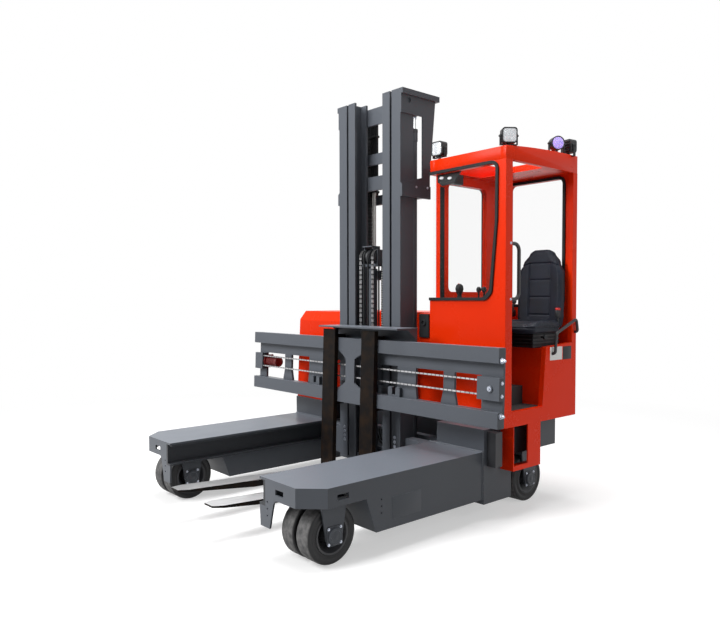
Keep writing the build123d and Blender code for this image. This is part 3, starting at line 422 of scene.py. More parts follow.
def makeStudio(settings):
    scene = bpy.context.scene
    scene.view_settings.view_transform = "Standard"
    world = bpy.data.worlds.new("studio")
    scene.world = world
    world.use_nodes = True
    tree = world.node_tree
    soft = tree.nodes["Background"]
    soft.inputs["Color"].default_value = (1.0, 1.0, 1.0, 1.0)
    soft.inputs["Strength"].default_value = settings["skyForLight"]
    white = addNode(tree, "Background", {}, {"Color": (1.0, 1.0, 1.0)}).outputs[0]
    seen = whiteToViewer(tree, soft.outputs[0], white)
    tree.links.new(seen, tree.nodes["World Output"].inputs["Surface"])
    makeFloor(settings)
    for name, place, aim, size, power in settings["lamps"]:
        data = bpy.data.lights.new(name, "AREA")
        data.energy, data.size = power, size
        lamp = bpy.data.objects.new(name, data)
        scene.collection.objects.link(lamp)
        lamp.location = place
        lamp.rotation_euler = (Vector(aim) - Vector(place)).to_track_quat("-Z", "Y").to_euler()


makeStudio(studio)
print("studio made")


# mesh helpers

alongX, alongY, alongZ = (1, 0, 0), (0, 1, 0), (0, 0, 1)


def circle(radius, steps):
    angles = (2 * math.pi * step / steps for step in range(steps))
    return [(radius * math.cos(angle), radius * math.sin(angle)) for angle in angles]


def band(count, here, there):
    # the faces between two loops of points
    return [(here + k, here + (k + 1) % count, there + (k + 1) % count, there + k) for k in range(count)]


def slabFaces(count):
    # the faces of a closed slab between two loops of points, one after the other
    return [tuple(range(count)), tuple(range(2 * count - 1, count - 1, -1))] + band(count, 0, count)


class Shape:
    # gathers the closed surfaces of one piece
    def __init__(self):
        self.points, self.faces = [], []

    def take(self, points, faces):
        start = len(self.points)
        self.points += [tuple(point) for point in points]
        self.faces += [tuple(start + index for index in face) for face in faces]
        return self

    def prism(self, outline, axis, low, high, edge=0.0, turn=None):
        # outline in the plane across the axis: (y, z), (x, z) or (x, y)
        order = {"x": (2, 0, 1), "y": (0, 2, 1), "z": (0, 1, 2)}[axis]
        points = [Vector([(a, b, t)[index] for index in order]) for t in (low, high) for a, b in outline]
        faces = slabFaces(len(outline))
        if edge:
            points, faces = softened(points, faces, edge)
        if turn:
            points = [turn @ point for point in points]
        return self.take(points, faces)

    def box(self, low, high, edge=0.0, turn=None):
        outline = [(low[0], low[1]), (high[0], low[1]), (high[0], high[1]), (low[0], high[1])]
        return self.prism(outline, "z", low[2], high[2], edge, turn)

    def turned(self, profile, centre, axis, steps=32, ring=False):
        # (along, radius) outline turned about an axis through the centre; a ring's outline is closed
        along = Vector(axis).normalized()
        side = along.orthogonal().normalized()
        other = along.cross(side)
        count = len(profile)
        points = []
        for step in range(steps):
            angle = 2 * math.pi * (step + 0.5) / steps
            out = math.cos(angle) * side + math.sin(angle) * other
            points += [Vector(centre) + a * along + r * out for a, r in profile]
        faces = []
        for step in range(steps):
            here, there = step * count, (step + 1) % steps * count
            for k in range(count if ring else count - 1):
                after = (k + 1) % count
                faces.append((here + k, here + after, there + after, there + k))
        if not ring:
            faces.append(tuple(step * count for step in range(steps)))
            faces.append(tuple(step * count + count - 1 for step in range(steps - 1, -1, -1)))
        return self.take(points, faces)

    def bar(self, points, radius, sides=12, wave=0.0, waves=1.0):
        # a round bar, hose or weld bead along points, its radius waving where asked
        points = [Vector(point) for point in points]
        before, after = points[:1] + points[:-1], points[1:] + points[-1:]
        tangents = [(b - a).normalized() for a, b in zip(before, after)]
        side = tangents[0].orthogonal().normalized()
        made = []
        for index, (point, tangent) in enumerate(zip(points, tangents)):
            side = (side - side.dot(tangent) * tangent).normalized()
            other = tangent.cross(side)
            here = radius * (1.0 + wave * math.sin(waves * index))
            for k in range(sides):
                angle = 2 * math.pi * k / sides
                made.append(point + here * (math.cos(angle) * side + math.sin(angle) * other))
        faces = [tuple(range(sides - 1, -1, -1)), tuple(len(made) - sides + k for k in range(sides))]
        for row in range(len(points) - 1):
            for k in range(sides):
                a, b = row * sides + k, row * sides + (k + 1) % sides
                faces.append((a, b, b + sides, a + sides))
        return self.take(made, faces)

    def bolt(self, place, axis, size):
        # a hexagon head, size across its flats, standing on a washer
        along, centre = Vector(axis).normalized(), Vector(place)
        rise, head = 0.14 * size, 0.577 * size
        self.turned([(0.0, 0.95 * size), (rise, 0.95 * size)], centre, along, 20)
        top = rise + 0.46 * size
        return self.turned([(rise, head), (top, head), (top + 0.12 * size, 0.86 * head)], centre, along, 6)

    def made(self, name, body, slot, finish=None):
        mesh = bpy.data.meshes.new(name)
        mesh.from_pydata(self.points, [], self.faces)
        tidy = bmesh.new()
        tidy.from_mesh(mesh)
        bmesh.ops.recalc_face_normals(tidy, faces=tidy.faces)
        tidy.to_mesh(mesh)
        tidy.free()
        return newPiece(name, body, slot, mesh, finish)


def softened(points, faces, edge):
    # the same closed surface with its sharp edges rounded
    made = bmesh.new()
    corners = [made.verts.new(point) for point in points]
    for face in faces:
        made.faces.new([corners[index] for index in face])
    bmesh.ops.recalc_face_normals(made, faces=made.faces)
    sharp = [line for line in made.edges if line.calc_face_angle(0.0) > 0.5]
    bmesh.ops.bevel(made, geom=sharp, offset=edge, segments=2, profile=0.5, affect="EDGES",
                    clamp_overlap=True)
    made.verts.index_update()
    points = [vert.co.copy() for vert in made.verts]
    faces = [tuple(vert.index for vert in face.verts) for face in made.faces]
    made.free()
    return points, faces


def newPiece(name, body, slot, mesh, finish=None):
    piece = bpy.data.objects.new(name, mesh)
    bpy.context.scene.collection.objects.link(piece)
    mesh.materials.append(finishes[finish or slot].material)
    mesh.shade_smooth()
    mesh.set_sharp_from_angle(angle=math.radians(38.0))
    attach(piece, body)
    return piece


def modify(piece, kind, **settings):
    modifier = piece.modifiers.new(kind.lower(), kind)
    for name, value in settings.items():
        setattr(modifier, name, value)
    bpy.context.view_layer.objects.active = piece
    with bpy.context.temp_override(object=piece, active_object=piece, selected_objects=[piece]):
        bpy.ops.object.modifier_apply(modifier=modifier.name)


def smoothLine(points, steps=8):
    # a smooth line that starts and ends on the first and last point and bends inside the others
    points = [Vector(point) for point in points]
    line = [points[0]]
    for index in range(1, len(points) - 1):
        start = points[0] if index == 1 else 0.5 * (points[index - 1] + points[index])
        last = index == len(points) - 2
        end = points[-1] if last else 0.5 * (points[index] + points[index + 1])
        for step in range(1, steps + 1):
            t = step / steps
            line.append((1 - t) ** 2 * start + 2 * t * (1 - t) * points[index] + t * t * end)
    return line


def roundedSquare(half, radius, steps=5):
    outline, inset = [], half - radius
    for quarter, (cx, cy) in enumerate(((1, 1), (-1, 1), (-1, -1), (1, -1))):
        for step in range(steps + 1):
            angle = 0.5 * math.pi * (quarter + step / steps)
            outline.append((cx * inset + radius * math.cos(angle), cy * inset + radius * math.sin(angle)))
    return outline


# the beam's pieces are placed upright and leant back with it
tiltPin, restTilt = Vector((0.0, 0.178, 0.770)), math.radians(-1.8)
lean = Matrix.Translation(tiltPin) @ Matrix.Rotation(restTilt, 4, "X") @ Matrix.Translation(-tiltPin)


# tyres: solid rubber with rounded shoulders and a sunk side wall

tyreSettings = {"radius": 0.178, "rim": 0.118, "shoulder": 0.018, "wallSink": 0.004, "steps": 96,
                "frontWidth": 0.122}


def tyreOutline(width, settings):
    half, radius, rim = 0.5 * width, settings["radius"], settings["rim"]
    bend, sink = settings["shoulder"], settings["wallSink"]
    right = [(half - 0.006, rim), (half - 0.001, rim + 0.004), (half - 0.001, rim + 0.010),
             (half - sink, rim + 0.014), (half - sink, rim + 0.026), (half - 0.001, rim + 0.030)]
    for step in range(6):
        angle = 0.5 * math.pi * step / 5
        right.append((half - bend + bend * math.cos(angle), radius - bend + bend * math.sin(angle)))
    return right + [(-a, r) for a, r in reversed(right)]


def makeTyres(settings):
    for side in ("left", "right"):
        for end, node in (("front", f"front_tyres_{side}"), ("rear", f"rear_tyre_{side}")):
            low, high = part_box(node)
            width = settings["frontWidth"] if end == "front" else high.x - low.x
            outline = tyreOutline(width, settings)
            shift = 0.5 * (high.x - low.x - width)
            for count, across in enumerate((-shift, shift) if end == "front" else (0.0,)):
                centre = 0.5 * (low + high) + Vector((across, 0.0, 0.0))
                shape = Shape().turned(outline, centre, alongX, settings["steps"], ring=True)
                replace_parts(shape.made(f"{node}_rubber_{count}", f"{end}_{side}_wheel", "tyre"), node)


makeTyres(tyreSettings)
print("tyres made")


# axle caps and legs

axleSettings = {"boltSpread": 0.045, "boltSize": 0.009, "flangeHalf": 0.058, "corner": 0.020, "flange": 0.005,
                "cap": 0.050, "capDepth": 0.019, "ring": 0.036}


def makeAxleCaps(settings):
    # on each yoke's outer sides a square flange with four bolts, under a round cap
    flange, depth, cap, ring = (settings[name] for name in ("flange", "capDepth", "cap", "ring"))
    dished = [(0.0, cap), (depth - 0.004, cap), (depth, cap - 0.004), (depth, ring),
              (depth - 0.002, ring - 0.002), (depth - 0.002, 0.012), (depth, 0.009)]
    square = roundedSquare(settings["flangeHalf"], settings["corner"])
    for side in ("left", "right"):
        for end in ("front", "rear"):
            low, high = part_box(f"{end}_yoke_{side}")
            hubLow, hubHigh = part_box(f"{end}_hub_{side}")
            middle = 0.5 * (hubLow + hubHigh)
            outline = [(middle.y + a, middle.z + b) for a, b in square]
            caps, bolts = Shape(), Shape()
            for face, sign in ((high.x, 1), (low.x, -1)):
                near, far = sorted((face, face + sign * flange))
                caps.prism(outline, "x", near, far, 0.001)
                caps.turned(dished, (face, middle.y, middle.z), (sign, 0, 0), 48)
                centre = Vector((face + sign * flange, middle.y, middle.z))
                for dy in (-1, 1):
                    for dz in (-1, 1):
                        spot = centre + settings["boltSpread"] * Vector((0, dy, dz))
                        bolts.bolt(spot, (sign, 0, 0), settings["boltSize"])
            caps.made(f"{end}_axle_caps_{side}", f"{end}_{side}_steer", "steel_paint")
            bolts.made(f"{end}_axle_bolts_{side}", f"{end}_{side}_steer", "bright_steel", "zinc_bolt")


makeAxleCaps(axleSettings)

legSettings = {"outer": 1.096, "inner": 0.604, "weldY": 0.329, "top": 0.485, "low": 0.152,
               "bead": 0.008, "beadWave": 0.14, "waves": 1.3, "steps": 150,
               "cover": ((-0.540, -0.286), (0.205, 0.342)), "coverThick": 0.0015}


def makeLegs(settings):
    # weld beads where each leg meets the chassis, and the cover on its side
    y, top, low, steps = (settings[name] for name in ("weldY", "top", "low", "steps"))
    (front, rear), (bottom, head) = settings["cover"]
    for side, sign in (("right", 1), ("left", -1)):
        bead, cover = Shape(), Shape()
        outer, inner = sign * settings["outer"], sign * settings["inner"]
        upright = [(outer, y, low + (top - low) * step / steps) for step in range(steps + 1)]
        across = [(outer + (inner - outer) * step / steps, y, top) for step in range(steps + 1)]
        for line in (upright, across):
            bead.bar(line, settings["bead"], 8, settings["beadWave"], settings["waves"])
        bead.made(f"leg_weld_{side}", "truck", "steel_paint")
        near, far = sorted((outer, outer + sign * settings["coverThick"]))
        cover.box((near, front, bottom), (far, rear, head), 0.0006)
        cover.made(f"leg_cover_{side}", "truck", "steel_paint")


makeLegs(legSettings)
print("running gear dressed")


# chains: leaf chains for the lift, roller chains for the fork positioner

chainSettings = {"pitch": 0.01905, "width": 0.024, "height": 0.0095, "x": (-0.110, 0.032),
                 "sheave": (0.320, 1.885), "radius": 0.0548, "turns": 10, "frontLow": 0.806, "leaves": 5,
                 "keep": 0.19, "hoseX": (-0.065, -0.017), "hoseRadius": 0.007, "hoseTurn": 0.059}


def linkPlate(length, height, waist, thick):
    # a figure-of-eight plate in the (along, up) plane, thick across
    outline = []
    for end in (1, -1):
        for step in range(5):
            angle = math.radians(-75 + 150 * step / 4) + (0.0 if end > 0 else math.pi)
            a, b = 0.5 * height * math.cos(angle), 0.5 * height * math.sin(angle)
            outline.append((end * 0.5 * length + a, b))
        outline.append((0.0, end * 0.5 * waist))
    points = [(a, b, t) for t in (-0.5 * thick, 0.5 * thick) for a, b in outline]
    return points, slabFaces(len(outline))


def leafChain(shapes, places, across, settings):
    # places are (point, direction) of each link's middle; plates lie one beside the other across
    height, leaves = settings["height"], settings["leaves"]
    thick = settings["width"] / leaves
    points, faces = linkPlate(settings["pitch"], height, 0.62 * height, 0.86 * thick)
    across = Vector(across)
    pin = 0.5 * settings["width"]
    for index, (centre, along) in enumerate(places):
        up = across.cross(along).normalized()
        shape = shapes[index % 2]
        # every other link has the inner plates
        for leaf in range(index % 2, leaves, 2):
            shift = (leaf - 0.5 * (leaves - 1)) * thick
            shape.take([centre + a * along + b * up + (t + shift) * across for a, b, t in points], faces)
        end = centre + 0.5 * settings["pitch"] * along
        shape.turned([(-pin, 0.0026), (pin, 0.0026)], end, across, 8)


def makeLiftChains(settings):
    # straight runs in front of the sheaves, which the lift shortens, and half a turn over them
    y, z = settings["sheave"]
    radius, turns = settings["radius"], settings["turns"]
    front, over = (Shape(), Shape()), (Shape(), Shape())
    reach = z - settings["frontLow"]
    count = int(reach / settings["pitch"])
    for x in settings["x"]:
        drops = [(step + 0.5) * reach / count for step in range(count)]
        places = [(Vector((x, y - radius, z - drop)), Vector((0, 0, -1))) for drop in drops]
        leafChain(front, places, alongX, settings)
        places = []
        for step in range(turns):
            angle = math.pi * (step + 0.5) / turns
            out = Vector((0, -math.cos(angle), math.sin(angle)))
            ahead = Vector((0, math.sin(angle), math.cos(angle)))
            places.append((Vector((x, y, z)) + radius * out, ahead))
        leafChain(over, places, alongX, settings)
    for pair, finish in ((0, "link_steel"), (1, "dark_steel")):
        piece = front[pair].made(f"lift_chains_front_{pair}", "free_head", "bright_steel", finish)
        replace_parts(piece, "strands_front")
        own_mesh(piece)
        piece = over[pair].made(f"lift_chains_over_{pair}", "free_head", "bright_steel", "dark_steel")
        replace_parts(piece, "sheaves")


def makeLiftHoses(settings):
    # two hoses between the chains
    y, z = settings["sheave"]
    reach, turn, radius = z - settings["frontLow"], settings["hoseTurn"], settings["hoseRadius"]
    hoses, bends = Shape(), Shape()
    for x in settings["hoseX"]:
        hoses.bar([(x, y - turn, z - reach * step / 30) for step in range(31)], radius, 14)
        angles = [math.pi * step / 24 for step in range(25)]
        bends.bar([(x, y - turn * math.cos(a), z + turn * math.sin(a)) for a in angles], radius, 14)
    piece = hoses.made("lift_hoses_front", "free_head", "black_plastic", "seal_rubber")
    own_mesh(piece)
    bends.made("lift_hoses_over", "free_head", "black_plastic", "seal_rubber")


def makeSheaves(settings):
    # grooved wheels under the chains and the hoses
    y, z = settings["sheave"]
    shape = Shape()
    half, groove = 0.5 * settings["width"], settings["radius"] - 0.5 * settings["height"]
    bore, rim, flange = 0.0105, 0.057, 0.004
    for x in settings["x"]:
        core = [(-half, bore), (half, bore), (half, groove), (-half, groove)]
        shape.turned(core, (x, y, z), alongX, 48, ring=True)
        for near, far in ((-half, -half - flange), (half, half + flange)):
            side = [(near, 0.012), (far, 0.012), (far, rim), (near, rim)]
            shape.turned(side, (x, y, z), alongX, 48, ring=True)
    low, high = settings["hoseX"]
    middle = 0.5 * (low + high)
    profile = [(low - 0.012, bore), (high + 0.012, bore), (high + 0.012, 0.060), (high + 0.008, 0.060)]
    for x in (high, middle, low):
        profile += [(x + 0.008, 0.055), (x, 0.0515), (x - 0.008, 0.055)]
    profile += [(low - 0.008, 0.060), (low - 0.012, 0.060)]
    shape.turned([(a - middle, r) for a, r in profile], (middle, y, z), alongX, 48, ring=True)
    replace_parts(shape.made("grooved_sheaves", "free_head", "steel_paint", "rim_paint"), "sheaves")


makeLiftChains(chainSettings)
makeLiftHoses(chainSettings)
makeSheaves(chainSettings)

positionerSettings = {"pitch": 0.01905, "height": 0.0125, "thick": 0.0016, "gap": 0.0038, "inset": 0.0017,
                      "runs": (0.925, 1.017), "y": 0.0905, "from": -1.300, "to": 1.240}


def makePositionerChains(settings):
    # outer links stand wider apart than the inner ones, which have the rollers
    height, start, length = settings["height"], settings["from"], settings["to"] - settings["from"]
    points, faces = linkPlate(settings["pitch"], height, 0.7 * height, settings["thick"])
    outer, inner = Shape(), Shape()
    count = round(length / settings["pitch"])
    pitch = length / count
    for z in settings["runs"]:
        for step in range(count):
            x = start + (step + 0.5) * pitch
            isInner = step % 2
            gap = settings["gap"] - (settings["inset"] if isInner else 0.0)
            for side in (-1, 1):
                y = settings["y"] + side * gap
                plate = [lean @ Vector((x + a, y + t, z + b)) for a, b, t in points]
                (inner if isInner else outer).take(plate, faces)
            if isInner:
                for end in (x - 0.5 * pitch, x + 0.5 * pitch):
                    centre = lean @ Vector((end, settings["y"], z))
                    inner.turned([(-0.0022, 0.005), (0.0022, 0.005)], centre, alongY, 10)
    for shape, name, finish in ((outer, "positioner_outer_links", "link_steel"),
                                (inner, "positioner_inner_links", "dark_steel")):
        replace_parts(shape.made(name, "beam", "bright_steel", finish), "positioner_chains")


makePositionerChains(positionerSettings)
print("chains made")


# fork beam: stop bolts, bolts on the end boxes, the positioner's motor

beamSettings = {"half": 1.419, "stopZ": (1.152, 0.800), "stopY": 0.095, "stopReach": 0.030,
                "boxBoltY": 0.108, "boxBoltZ": (1.008, 0.925), "boss": (1.345, 0.072, 0.968),
                "motor": (-1.298, 0.151, 0.966), "motorRadius": 0.047, "motorLength": 0.170, "flange": 0.014,
                "port": (0.085, -0.020, 0.048)}


def makeBeamBolts(settings):
    bolts = Shape()
    reach = settings["stopReach"]
    for sign in (1, -1):
        along = (sign, 0, 0)
        for z in settings["stopZ"]:
            place = lean @ Vector((sign * settings["half"], settings["stopY"], z))
            bolts.turned([(0.0, 0.019), (0.006, 0.019)], place, along, 24)
            bolts.turned([(0.006, 0.015), (0.018, 0.015), (0.020, 0.013)], place, along, 6)
            bolts.turned([(0.018, 0.009), (reach, 0.009), (reach + 0.003, 0.007)], place, along, 20)
        for z in settings["boxBoltZ"]:
            bolts.bolt(lean @ Vector((sign * settings["half"], settings["boxBoltY"], z)), along, 0.013)
    bolts.bolt(lean @ Vector(settings["boss"]), (0, -1, 0), 0.017)
    bolts.made("beam_bolts", "beam", "bright_steel", "zinc_bolt")


def makePositionerMotor(settings):
    radius, length, flange = (settings[name] for name in ("motorRadius", "motorLength", "flange"))
    profile = [(0.0, radius + flange), (flange, radius + flange), (flange, radius)]
    for rib in range(6):
        start = 0.030 + 0.018 * rib
        profile += [(start, radius), (start + 0.002, radius + 0.004)]
        profile += [(start + 0.008, radius + 0.004), (start + 0.010, radius)]
    profile += [(length - 0.012, radius), (length - 0.002, radius - 0.004), (length, radius - 0.012)]
    centre = lean @ Vector(settings["motor"])
    port = centre + Vector(settings["port"])
    motor = Shape().turned(profile, centre, alongX, 40)
    motor.turned([(-0.012, 0.013), (0.012, 0.013), (0.020, 0.009)], port, alongZ, 6)
    motor.made("positioner_motor", "beam", "steel_paint", "dark_red")


makeBeamBolts(beamSettings)
makePositionerMotor(beamSettings)


# mast: hose carrier behind the left upright, pipes and hoses, fittings on the cylinders, bolts

hoseSettings = {"guideX": (-0.318, -0.250), "guideY": (0.500, 0.530), "guideZ": (1.300, 3.060),
                "ribPitch": 0.030, "rib": 0.022, "stayLow": (-0.262, 0.440), "stayZ": (1.360, 1.740, 2.695),
                "pipes": ((-0.165, 0.452), (-0.140, 0.452)), "pipeRadius": 0.008, "pipeZ": (0.760, 2.430),
                "barFace": 0.441, "pipeClampZ": (0.690, 1.740),
                "hosesX": (-0.236, -0.212, -0.188, -0.164), "hoseY": 0.497, "hoseZ": (2.400, 3.065),
                "hoseRadius": 0.0105, "clampX": (-0.256, -0.150), "clampY": (0.480, 0.512),
                "clampZ": (2.440, 2.900, 3.050)}


def makeHoseCarrier(settings):
    # ribs on a core, held by stays from the mast's cross bars
    (left, right), (front, rear), (low, high) = (settings[name] for name in ("guideX", "guideY", "guideZ"))
    carrier = Shape()
    for step in range(int((high - low) / settings["ribPitch"])):
        z = low + step * settings["ribPitch"]
        carrier.box((left, front, z), (right, rear, z + settings["rib"]), 0.003)
    carrier.box((left + 0.008, front + 0.006, low), (right - 0.008, rear - 0.006, high))
    x, y = settings["stayLow"]
    for z in settings["stayZ"]:
        carrier.box((x, y, z - 0.012), (right, front + 0.006, z + 0.012), 0.001)
    carrier.made("hose_carrier", "reach", "black_plastic")


def makeMastLines(settings):
    # steel pipes up the cross bars, and hoses at the mast's top
    pipes, hoses = Shape(), Shape()
    low, high = settings["pipeZ"]
    for x, y in settings["pipes"]:
        pipes.bar([(x, y, low), (x, y, high)], settings["pipeRadius"], 14)
        for z in settings["pipeClampZ"]:
            pipes.box((x - 0.013, settings["barFace"], z - 0.010), (x + 0.013, y + 0.011, z + 0.010), 0.002)
    pipes.made("mast_pipes", "reach", "bright_steel")
    low, high = settings["hoseZ"]
    for x in settings["hosesX"]:
        line = [(x, settings["hoseY"], low + (high - low) * step / 12) for step in range(13)]
        hoses.bar(line, settings["hoseRadius"], 12)
    (left, right), (front, rear) = settings["clampX"], settings["clampY"]
    for z in settings["clampZ"]:
        hoses.box((left, front, z - 0.010), (right, rear, z + 0.010), 0.003)
    hoses.made("mast_hoses", "reach", "black_plastic", "seal_rubber")


makeHoseCarrier(hoseSettings)
makeMastLines(hoseSettings)

cylinderSettings = {"x": 0.312, "y": 0.441, "gland": 2.830, "bands": (1.300, 1.320), "rodNut": 2.944}


def makeCylinderGlands(settings):
    # a gland nut on top of each lift cylinder and bands round its tube
    gland = [(0.0, 0.022), (0.0, 0.034), (0.010, 0.036), (0.030, 0.036), (0.034, 0.030), (0.034, 0.0205)]
    hoop = [(0.0, 0.0312), (0.0, 0.034), (0.006, 0.034), (0.006, 0.0312)]
    glands = Shape()
    for sign in (-1, 1):
        x, y = sign * settings["x"], settings["y"]
        glands.turned(gland, (x, y, settings["gland"]), alongZ, 40, ring=True)
        for z in settings["bands"]:
            glands.turned(hoop, (x, y, z), alongZ, 40, ring=True)
    glands.made("cylinder_glands", "reach", "steel_paint", "rim_paint")


makeCylinderGlands(cylinderSettings)

mastBoltSettings = {"ear": 0.380, "earYZ": ((0.407, 2.406), (0.530, 2.411)),
                    "foot": (0.300, 0.251), "footZ": (0.370, 0.405, 0.440, 0.475),
                    "barX": (0.05, 0.20), "barY": 0.441, "barZ": (2.700, 1.740, 0.690),
                    "valveX": (0.047, 0.094, 0.141), "valveYZ": (0.485, 0.518),
                    "valvePlug": (0.187, 0.470, 0.470)}


def makeMastBolts(settings):
    # on the top ears, the feet, the cross bars and the valve block
    bolts = Shape()
    for sign in (-1, 1):
        for y, z in settings["earYZ"]:
            bolts.bolt((sign * settings["ear"], y, z), (sign, 0, 0), 0.010)
        x, y = settings["foot"]
        for z in settings["footZ"]:
            bolts.bolt((sign * x, y, z), (0, -1, 0), 0.014)
        for z in settings["barZ"]:
            for x in settings["barX"]:
                bolts.bolt((sign * x, settings["barY"], z), alongY, 0.016)
    for x in settings["valveX"]:
        bolts.bolt((x, *settings["valveYZ"]), alongZ, 0.014)
    bolts.bolt(settings["valvePlug"], (0, -1, 0), 0.018)
    bolts.made("mast_bolts", "reach", "bright_steel", "zinc_bolt")


makeMastBolts(mastBoltSettings)

# each of the valve's hoses starts at its x and sinks to its z
valveSettings = {"low": (0.020, 0.470, 0.425), "high": (0.198, 0.500, 0.518),
                 "hoses": ((0.035, 0.332), (0.070, 0.352), (0.105, 0.375)), "hoseRadius": 0.008}


def makeReachValve(settings):
    # the valve block low on the mast, with the hoses that loop under it
    valve, loops = Shape(), Shape()
    valve.box(settings["low"], settings["high"], 0.004)
    valve.made("reach_valve", "reach", "steel_paint", "rim_paint")
    for x, z in settings["hoses"]:
        route = [(x, 0.474, 0.440), (x, 0.462, 0.380), (x - 0.060, 0.470, z), (x - 0.130, 0.480, z),
                 (x - 0.205, 0.490, 0.380), (x - 0.210, 0.497, 0.450)]
        loops.bar(smoothLine(route), settings["hoseRadius"], 12)
    loops.made("reach_hoses", "reach", "black_plastic", "seal_rubber")


makeReachValve(valveSettings)

anchorSettings = {"y": 0.2652, "z": 0.782}


def makeNuts(cylinder, chain, anchor):
    # on the heads of the lift rods and where the front chains end
    rods, anchors = Shape(), Shape()
    for sign in (-1, 1):
        place = (sign * cylinder["x"], cylinder["y"], cylinder["rodNut"])
        rods.turned([(0.0, 0.029), (0.016, 0.029), (0.020, 0.025)], place, alongZ, 6)
    rods.made("rod_nuts", "inner_stage", "bright_steel", "zinc_bolt")
    for x in chain["x"]:
        place = (x, anchor["y"], anchor["z"])
        anchors.turned([(0.0, 0.011), (0.014, 0.011), (0.016, 0.009)], place, alongZ, 6)
    anchors.made("chain_anchor_nuts", "carriage", "bright_steel", "zinc_bolt")


makeNuts(cylinderSettings, chainSettings, anchorSettings)
print("mast and beam dressed")


# lamps on the roof

lampSettings = {
    # name, middle, size, round, turned from straight ahead, bowl
    "lamps": (("front_left", (0.578, 0.452, 2.668), 0.106, False, 0.0, "white_bowl"),
              ("front_right", (1.172, 0.500, 2.668), 0.106, False, 52.0, "white_bowl"),
              ("violet", (1.158, 1.105, 2.706), 0.104, True, 58.0, "violet_bowl"),
              ("rear", (1.176, 1.240, 2.700), 0.100, False, 172.0, "white_bowl")),
    "front": -0.028, "bezel": 0.007, "rim": 0.007, "corner": 0.020, "roof": 2.584,
}


def makeLamp(settings, name, middle, size, isRound, turn, bowl):
    half, front = 0.5 * size, settings["front"]
    face = front - settings["bezel"]
    place = Matrix.Translation(middle) @ Matrix.Rotation(math.radians(turn), 4, "Z")
    across, ahead = place.to_3x3() @ Vector(alongX), place.to_3x3() @ Vector((0, -1, 0))
    outer = circle(half, 40) if isRound else roundedSquare(half, settings["corner"])
    inner = [(a * (1 - settings["rim"] / half), b * (1 - settings["rim"] / half)) for a, b in outer]
    count = len(outer)

    def loop(outline, y, shrink=1.0):
        return [place @ Vector((shrink * a, y, shrink * b)) for a, b in outline]

    # bezel: front ring, outer wall, inner wall
    housing, cups, cover = Shape(), Shape(), Shape()
    points = loop(outer, front) + loop(outer, face) + loop(inner, face) + loop(inner, front + 0.004)
    rows = (band(count, row * count, (row + 1) % 4 * count) for row in range(4))
    housing.take(points, [quad for row in rows for quad in row])
    # U bracket under the lamp
    base, arm = 0.5 * (settings["roof"] - middle[2]) - 0.020, half + 0.006
    for side in (-1, 1):
        housing.box((side * arm - 0.003, -0.012, base), (side * arm + 0.003, 0.012, 0.012), 0.001, place)
        housing.bolt(place @ Vector((side * (arm + 0.003), 0, 0)), side * across, 0.011)
    housing.box((-arm - 0.003, -0.012, base - 0.002), (arm + 0.003, 0.012, base + 0.004), 0.001, place)
    housing.made(f"lamp_frame_{name}", "truck", "black_plastic")
    # four small bowls, or one round one
    cups.take(loop(inner, front + 0.0005) + loop(inner, front - 0.001), slabFaces(count))
    step = 0.42 * half
    spots = [(a, b, 0.36 * half) for a in (-step, step) for b in (-step, step)]
    for a, b, radius in [(0.0, 0.0, 0.72 * half)] if isRound else spots:
        dish = [(0.0, radius), (0.003, radius), (0.003, 0.9 * radius), (0.0008, 0.35 * radius),
                (0.002, 0.30 * radius), (0.0035, 0.15 * radius)]
        cups.turned(dish, place @ Vector((a, front - 0.001, b)), ahead, 24)
    cups.made(f"lamp_bowl_{name}", "truck", "lamp_glass", bowl)
    cover.take(loop(inner, face + 0.0015) + loop(inner, face - 0.001, 0.9), slabFaces(count))
    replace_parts(cover.made(f"lamp_cover_{name}", "truck", "lamp_glass"), "lamp_lenses")


for lamp in lampSettings["lamps"]:
    makeLamp(lampSettings, *lamp)
print("lamps made")


# seat: padded cushion and back with sewn seams, belt buckle

seatSettings = {"middle": 0.978, "low": 1.288, "voxel": 0.0055, "pressure": 4.0, "frames": 20,
                "cushionCap": 0.007, "backCap": 0.006, "seamDepth": 0.006, "seamWidth": 0.0055,
                # half width, height above the cushion's underside
                "half": ((0.150, 0.014), (0.196, 0.052), (0.206, 0.126), (0.207, 0.290), (0.203, 0.452),
                         (0.168, 0.538), (0.112, 0.622), (0.060, 0.646)),
                "backFront": 1.156, "backDepth": 0.052, "lean": -2.5, "bolster": 0.020,
                "bolsterTop": (0.48, 0.60), "panelHalf": 0.094, "panelZ": (1.421, 1.559, 1.693, 1.822),
                "cushionShift": 0.005, "seamX": 0.125, "noseSeam": 0.085, "skirtSeam": 0.038}


def pad(rows, columns, place):
    # a closed pad; place gives a point of its face (side 0) or back (side 1), up by v and across by u
    wide, count = columns + 1, (rows + 1) * (columns + 1)
    points = [place(side, row / rows, 2.0 * column / columns - 1.0)
              for side in (0, 1) for row in range(rows + 1) for column in range(wide)]
    faces = []
    for row in range(rows):
        for column in range(columns):
            a = row * wide + column
            quad = (a, a + 1, a + wide + 1, a + wide)
            faces += [quad, tuple(count + k for k in reversed(quad))]
    rim = list(range(wide)) + [row * wide + columns for row in range(1, rows + 1)]
    rim += [rows * wide + column for column in range(columns - 1, -1, -1)]
    rim += [row * wide for row in range(rows - 1, 0, -1)]
    faces += [(here, there, count + there, count + here) for here, there in zip(rim, rim[1:] + rim[:1])]
    return Shape().take(points, faces)


def past(value, start, end):
    # 0 up to start, then rising to 1 at end
    return max(0.0, (value - start) / (end - start))


